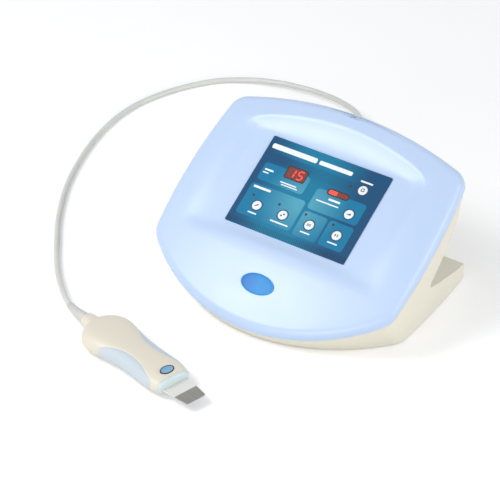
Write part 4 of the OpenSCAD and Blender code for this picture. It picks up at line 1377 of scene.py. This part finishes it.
@dataclass
class Console:
    """The whole console."""

    frame: dict[str, Any]
    face: FaceFrame = field(default_factory=FaceFrame)

    def housing(self) -> None:
        """The cream rear housing with its foot, and the plate under it."""
        cream = MouldedPlastic("housing_cream", (229, 224, 207), 0.45, grain=0.00003, drift=0.02).make()
        softened(self.frame, "rear_housing", "rear_housing_shell", 2.2, [cream], Body.CONSOLE.value, 4)
        softened(self.frame, "base_plate", "base_plate_soft", 0.3, [cream], Body.CONSOLE.value, 1)
        LOG.info("rear housing and base plate")

    def badge(self) -> None:
        """The blank oval badge low on the cover."""
        cover = FrontCover(self.face)
        at = (0.0, -91.0)
        place = self.face.matrix() @ Matrix.Translation((0, at[1] * MM, (cover.crown(at) + 0.05) * MM)) \
            @ Matrix.Rotation(math.radians(6.5), 4, "X")
        rim = MouldedPlastic("badge_rim_blue", (40, 150, 220), 0.4, drift=0.01).make()
        enamel = Enamel("badge_enamel", place, (12, 136, 210), (8, 100, 190), 17.0).make()
        Badge("console_badge_oval", place, 16.75, 9.4, 0.6, 0.7, 0.35, "console_badge",
              Body.CONSOLE.value).build(rim, enamel)
        LOG.info("console badge")

    def small_parts(self) -> None:
        """Finishes of the console's remaining CAD pieces."""
        dark = MouldedPlastic("part_black", (30, 30, 32), 0.45).make()
        board = MouldedPlastic("board_green", (30, 96, 60), 0.4).make()
        ivory = MouldedPlastic("part_ivory", (226, 216, 188), 0.5).make()
        grey = MouldedPlastic("gland_grey", (176, 177, 174), 0.5).make()
        steel = TurnedMetal("screw_steel", (196, 196, 192), 0.32).make()
        alloy = TurnedMetal("heatsink_alloy", (205, 207, 208), 0.4).make()
        copper = TurnedMetal("winding_copper", (196, 122, 72), 0.35).make()
        sleeve = MouldedPlastic("sleeve_navy", (28, 42, 78), 0.3, coat=0.3).make()
        rubber = SoftRubber("foot_rubber", (48, 48, 48), 0.7).make()
        sheath = SoftRubber("boot_grey", (190, 191, 188), 0.5).make()
        finishes = {
            "digit_display": dark, "bar_display": dark, "key_switches": dark, "buzzer": dark, "power_jack": dark,
            "heatsink_transistors": dark, "control_board": board, "driver_board": board, "lead_terminal": board,
            "board_spacers": steel, "board_screws": steel, "driver_screws": steel, "case_screws": steel,
            "base_screws": steel, "jack_nut": steel, "board_connector": ivory, "output_transformer": copper,
            "supply_coil": copper, "capacitors": sleeve, "heatsink": alloy, "rubber_feet": rubber,
            "lead_gland": grey, "console_boot": sheath,
        }
        for node, material in finishes.items():
            dress(self.frame, node, material)
        LOG.info("%d small console parts", len(finishes))

    def build(self) -> None:
        """Makes the console."""
        FrontCover(self.face).build()
        Keypad(self.face).build(self.frame)
        self.housing()
        self.badge()
        self.small_parts()


def dress(frame: dict[str, Any], node: str, material: bpy.types.Material) -> None:
    """Gives a CAD node's own object a material.

    Args:
        node: the node.
        material: its new material.
    """
    obj = frame["nodes"][node]
    if not obj.material_slots:
        obj.data.materials.append(material)
    for slot in obj.material_slots:
        slot.material = material


# ---------------------------------------------------------------------------
# Handpiece
# ---------------------------------------------------------------------------

STATIONS: tuple[tuple[float, float, float, float], ...] = (
    (0, 6.6, 6.2, 6.4), (4, 7.2, 6.6, 6.9), (8, 7.4, 6.9, 7.4), (11, 9.2, 7.6, 8.4), (13.5, 14.5, 8.6, 9.4),
    (17, 19.2, 9.4, 10.1), (22, 22.6, 10, 10.5), (28, 24.3, 10.4, 10.5), (34, 24.4, 10.5, 10.5),
    (41, 23.3, 10.5, 10.5), (46, 22.2, 10.4, 10.5), (52, 21, 10.3, 10.5), (59, 19.8, 10.1, 10.5),
    (67, 19, 9.9, 10.5), (76, 18.8, 9.6, 10.5), (85, 19, 9.2, 10.5), (94, 19.5, 8.8, 10.5),
    (101, 19.7, 8.4, 10.3), (107, 19.3, 7.9, 9.8), (111, 18.6, 7.5, 9.4), (114.5, 17.8, 7, 9),
    (117, 17.2, 6.6, 8.6),
)


@dataclass
class Handpiece:
    """The spatula handpiece, which lies on the table."""

    frame: dict[str, Any]
    tail: tuple[float, float, float] = (-117.0, -170.0, 10.5)
    turn: float = -14.0
    section_power: float = 0.77
    grip_from: float = 44.5
    grip_to: float = 109.5
    grip_t: float = 1.3
    wall: float = 1.9
    groove: float = 0.35
    band: int = 9
    quarter: int = 22
    rows_on_grip: int = 40

    def matrix(self) -> Matrix:
        """Place of the handpiece: x along it from its tail, z up from its seam."""
        return Matrix.Translation(Vector(self.tail) * MM) @ Matrix.Rotation(math.radians(self.turn), 4, "Z")

    def station(self, x: float) -> tuple[float, float, float]:
        """Half width and heights over and under the seam at a distance from the tail."""
        for i in range(len(STATIONS) - 1):
            if x <= STATIONS[i + 1][0] or i == len(STATIONS) - 2:
                break
        p = [STATIONS[min(max(k, 0), len(STATIONS) - 1)] for k in (i - 1, i, i + 1, i + 2)]
        span = p[2][0] - p[1][0]
        t = min(max((x - p[1][0]) / span, 0.0), 1.0)
        out = []
        for c in (1, 2, 3):
            before = (p[2][c] - p[0][c]) / max(p[2][0] - p[0][0], 1e-6) * span
            after = (p[3][c] - p[1][c]) / max(p[3][0] - p[1][0], 1e-6) * span
            out.append((2 * t ** 3 - 3 * t * t + 1) * p[1][c] + (t ** 3 - 2 * t * t + t) * before
                       + (3 * t * t - 2 * t ** 3) * p[2][c] + (t ** 3 - t * t) * after)
        return (out[0], min(out[1], 10.5), min(out[2], 10.5))

    def rows(self) -> list[float]:
        """Distances from the tail at which the body has a section."""
        before = [0, 2, 4, 6, 8, 9.5, 11, 12.2, 13.5, 15, 17, 19.5, 22, 25, 28, 31, 34, 37, 40, 42.5]
        grip = [self.grip_from + (self.grip_to - self.grip_from) * i / self.rows_on_grip
                for i in range(self.rows_on_grip + 1)]
        return [float(x) for x in before] + grip + [111.0, 112.5, 113.6, 114.5, 115.7, 116.6, 117.0]

    def reach(self, x: float, up: bool) -> float:
        """Degrees round the section that the grip covers."""
        middle, half = (self.grip_from + self.grip_to) / 2, (self.grip_to - self.grip_from) / 2 + 1.2
        return 5 + ((62 if up else 45) - 5) * max(0.0, 1 - ((x - middle) / half) ** 2) ** 0.6

    def turn_at(self, x: float, j: int, up: bool) -> float:
        """Angle in degrees of a section's point number j from the seam."""
        g = self.reach(x, up)
        if j <= self.band:
            return g * j / self.band
        return g + (90 - g) * (j - self.band) / (self.quarter - self.band)

    def point(self, x: float, j: int, up: bool, side: int, cut: float) -> Vector:
        """A point of a section, in the handpiece's own frame in millimetres.

        Args:
            x: distance from the tail.
            j: its number from the seam.
            up: over the seam or under it.
            side: 1 for the far side, -1 for the near side.
            cut: how far it lies inside the outer surface.

        Returns:
            The point.
        """
        a, top, bottom = self.station(x)
        h = (top if up else bottom) - cut
        angle = math.radians(self.turn_at(x, j, up))
        y = (a - cut) * max(math.cos(angle), 0.0) ** self.section_power
        z = h * max(math.sin(angle), 0.0) ** self.section_power
        return Vector((x, side * y, z if up else -z))

    def border(self, row: float, j: int) -> bool:
        """Whether a point lies on the grip's border."""
        inside = self.grip_from - 1e-6 <= row <= self.grip_to + 1e-6
        ends = abs(row - self.grip_from) < 1e-6 or abs(row - self.grip_to) < 1e-6
        return inside and (j == self.band or (ends and j <= self.band))

    def within(self, row: float, j: int) -> bool:
        """Whether a point lies inside the grip's border."""
        return self.grip_from + 1e-6 < row < self.grip_to - 1e-6 and j < self.band

    def shell(self, up: bool, finish: bpy.types.Material) -> bpy.types.Object:
        """One half of the body, hollow, with its seam edge eased and a bed for each grip.

        Args:
            up: the upper or the lower half.
            finish: its material.

        Returns:
            The half shell.
        """
        place = self.matrix()
        order = [(-1, j) for j in range(self.quarter + 1)] + [(1, j) for j in range(self.quarter - 1, -1, -1)]
        n = len(order)
        rows = self.rows()
        points: list[Vector] = []
        for x in rows:
            for side, j in order:
                cut = self.grip_t if self.within(x, j) else self.groove if self.border(x, j) else 0.0
                if j == 0 and cut == 0.0:
                    cut = 0.12
                points.append(place @ (self.point(x, j, up, side, cut) * MM))
            for side, j in reversed(order):
                points.append(place @ (self.point(x, j, up, side, self.wall + self.grip_t) * MM))
        count = 2 * n
        faces = ring_faces(len(rows), count, False)
        for end in (0, len(rows) - 1):
            faces += [(end * count + j, end * count + j + 1, end * count + count - 2 - j, end * count + count - 1 - j)
                      for j in range(n - 1)]
        node = "upper_shell" if up else "lower_shell"
        obj = mesh_object(node + "_moulding", points, faces)
        return finish_piece(obj, [finish], Body.HANDPIECE.value, [node], sharp=48.0)

    def grip(self, side: int, finish: bpy.types.Material) -> bpy.types.Object:
        """One side's soft grip, a lens that fills its bed in both halves.

        Args:
            side: 1 for the far side, -1 for the near side.
            finish: its material.

        Returns:
            The grip.
        """
        place = self.matrix()
        rows = [x for x in self.rows() if self.grip_from - 1e-6 <= x <= self.grip_to + 1e-6]
        cells = [(False, j) for j in range(self.band, 0, -1)] + [(True, j) for j in range(self.band + 1)]
        n, last = len(cells), len(rows) - 1
        points: list[Vector] = []
        for layer in (0.0, self.grip_t):
            for r, x in enumerate(rows):
                for c, (up, j) in enumerate(cells):
                    edge = r in (0, last) or c in (0, n - 1)
                    near = min(r, last - r, c, n - 1 - c)
                    cut = self.groove if edge else layer if layer else (0.08 if near == 1 else -0.05)
                    points.append(place @ (self.point(x, j, up, side, cut) * MM))
        faces: list[tuple[int, ...]] = []
        for layer in (0, 1):
            start = layer * len(rows) * n
            for r in range(last):
                for c in range(n - 1):
                    a = start + r * n + c
                    quad = (a, a + 1, a + n + 1, a + n)
                    faces.append(quad if layer else quad[::-1])
        node = "near_grip" if side < 0 else "far_grip"
        obj = mesh_object(node + "_soft", points, faces)
        return finish_piece(obj, [finish], Body.HANDPIECE.value, [node], sharp=60.0)

    def badge(self) -> None:
        """The blank oval badge near the nose."""
        lean = Matrix.Rotation(math.radians(7.5), 4, "Y")
        place = self.matrix() @ Matrix.Translation((109.6 * MM, 0, 7.6 * MM)) @ lean
        rim = MouldedPlastic("hand_badge_rim", (22, 34, 54), 0.35, drift=0.01).make()
        enamel = Enamel("hand_badge_enamel", place, (130, 172, 204), (110, 156, 194), 4.0).make()
        Badge("handpiece_badge_oval", place, 4.34, 7.0, 1.0, 0.7, 0.25, "handpiece_badge",
              Body.HANDPIECE.value).build(rim, enamel)

    def nose(self) -> None:
        """The collar and the steel blade."""
        collar = MouldedPlastic("collar_blue_green", (206, 222, 223), 0.32, drift=0.015, coat=0.2).make()
        sections = ((117.02, 16.6, 6.1, 8.1), (117.12, 17.0, 6.5, 8.5), (117.5, 17.15, 6.55, 8.55), (118.3, 17.0, 6.4, 8.4),
                    (119.1, 16.4, 6.0, 7.9), (119.7, 15.6, 5.5, 7.3), (120.05, 14.9, 5.0, 6.8), (120.2, 14.2, 4.5, 6.3))
        n = 72
        points: list[Vector] = []
        for x, a, up, down in sections:
            for k in range(n):
                c, z = math.cos(2 * math.pi * k / n), math.sin(2 * math.pi * k / n)
                y = math.copysign(a * abs(c) ** self.section_power, c)
                h = math.copysign((up if z > 0 else down) * abs(z) ** self.section_power, z)
                points.append(self.matrix() @ (Vector((x, y, h)) * MM))
        obj = mesh_object("nose_collar_ring", points, ring_faces(len(sections), n, False, capped=True))
        finish_piece(obj, [collar], Body.HANDPIECE.value, ["nose_collar"], sharp=50.0)
        dress(self.frame, "spatula_blade", BladeSteel("blade_steel_ground", self.matrix(), 134.0).make())

    def inner_parts(self) -> None:
        """Finishes of the parts inside, and of the boot on the lead."""
        alloy = TurnedMetal("horn_alloy", (208, 210, 212), 0.3).make()
        steel = TurnedMetal("stack_steel", (170, 170, 168), 0.35).make()
        copper = TurnedMetal("electrode_copper", (200, 128, 80), 0.3).make()
        ceramic = MouldedPlastic("piezo_ceramic", (222, 212, 176), 0.55).make()
        ivory = MouldedPlastic("cradle_ivory", (226, 216, 190), 0.5).make()
        rubber = SoftRubber("ring_rubber", (40, 40, 42), 0.65).make()
        sheath = SoftRubber("hand_boot_grey", (206, 206, 200), 0.48).make()
        for node, material in (("horn", alloy), ("blade_screw", steel), ("back_mass", steel), ("clamp_bolt", steel),
                               ("shell_screws", steel), ("electrode_rings", copper), ("piezo_rings", ceramic),
                               ("transducer_cradle", ivory), ("damping_rings", rubber)):
            dress(self.frame, node, material)
        softened(self.frame, "handpiece_boot", "handpiece_boot_soft", 0.2, [sheath], Body.HANDPIECE.value,
                 1, 60.0)

    def build(self) -> None:
        """Makes the handpiece."""
        cream = MouldedPlastic("hand_cream_satin", (226, 219, 202), 0.4, grain=0.00001, drift=0.02).make()
        grip = MouldedPlastic("grip_pale_blue", (200, 211, 218), 0.55, grain=0.00003, drift=0.02).make()
        self.shell(True, cream)
        self.shell(False, cream)
        self.grip(-1, grip)
        self.grip(1, grip)
        self.badge()
        self.nose()
        self.inner_parts()
        LOG.info("handpiece")


def main() -> None:
    """Builds the looks in order: camera and lead first, then the console and the handpiece."""
    logging.basicConfig(level=logging.INFO, format="%(name)s: %(message)s")
    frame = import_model()
    scene = bpy.context.scene
    scene.view_settings.view_transform = "Standard"
    studio = Studio()
    studio.camera()
    Lead().build()
    studio.lights()
    studio.floor()
    Console(frame).build()
    Handpiece(frame).build()


if __name__ == "__main__":
    main()
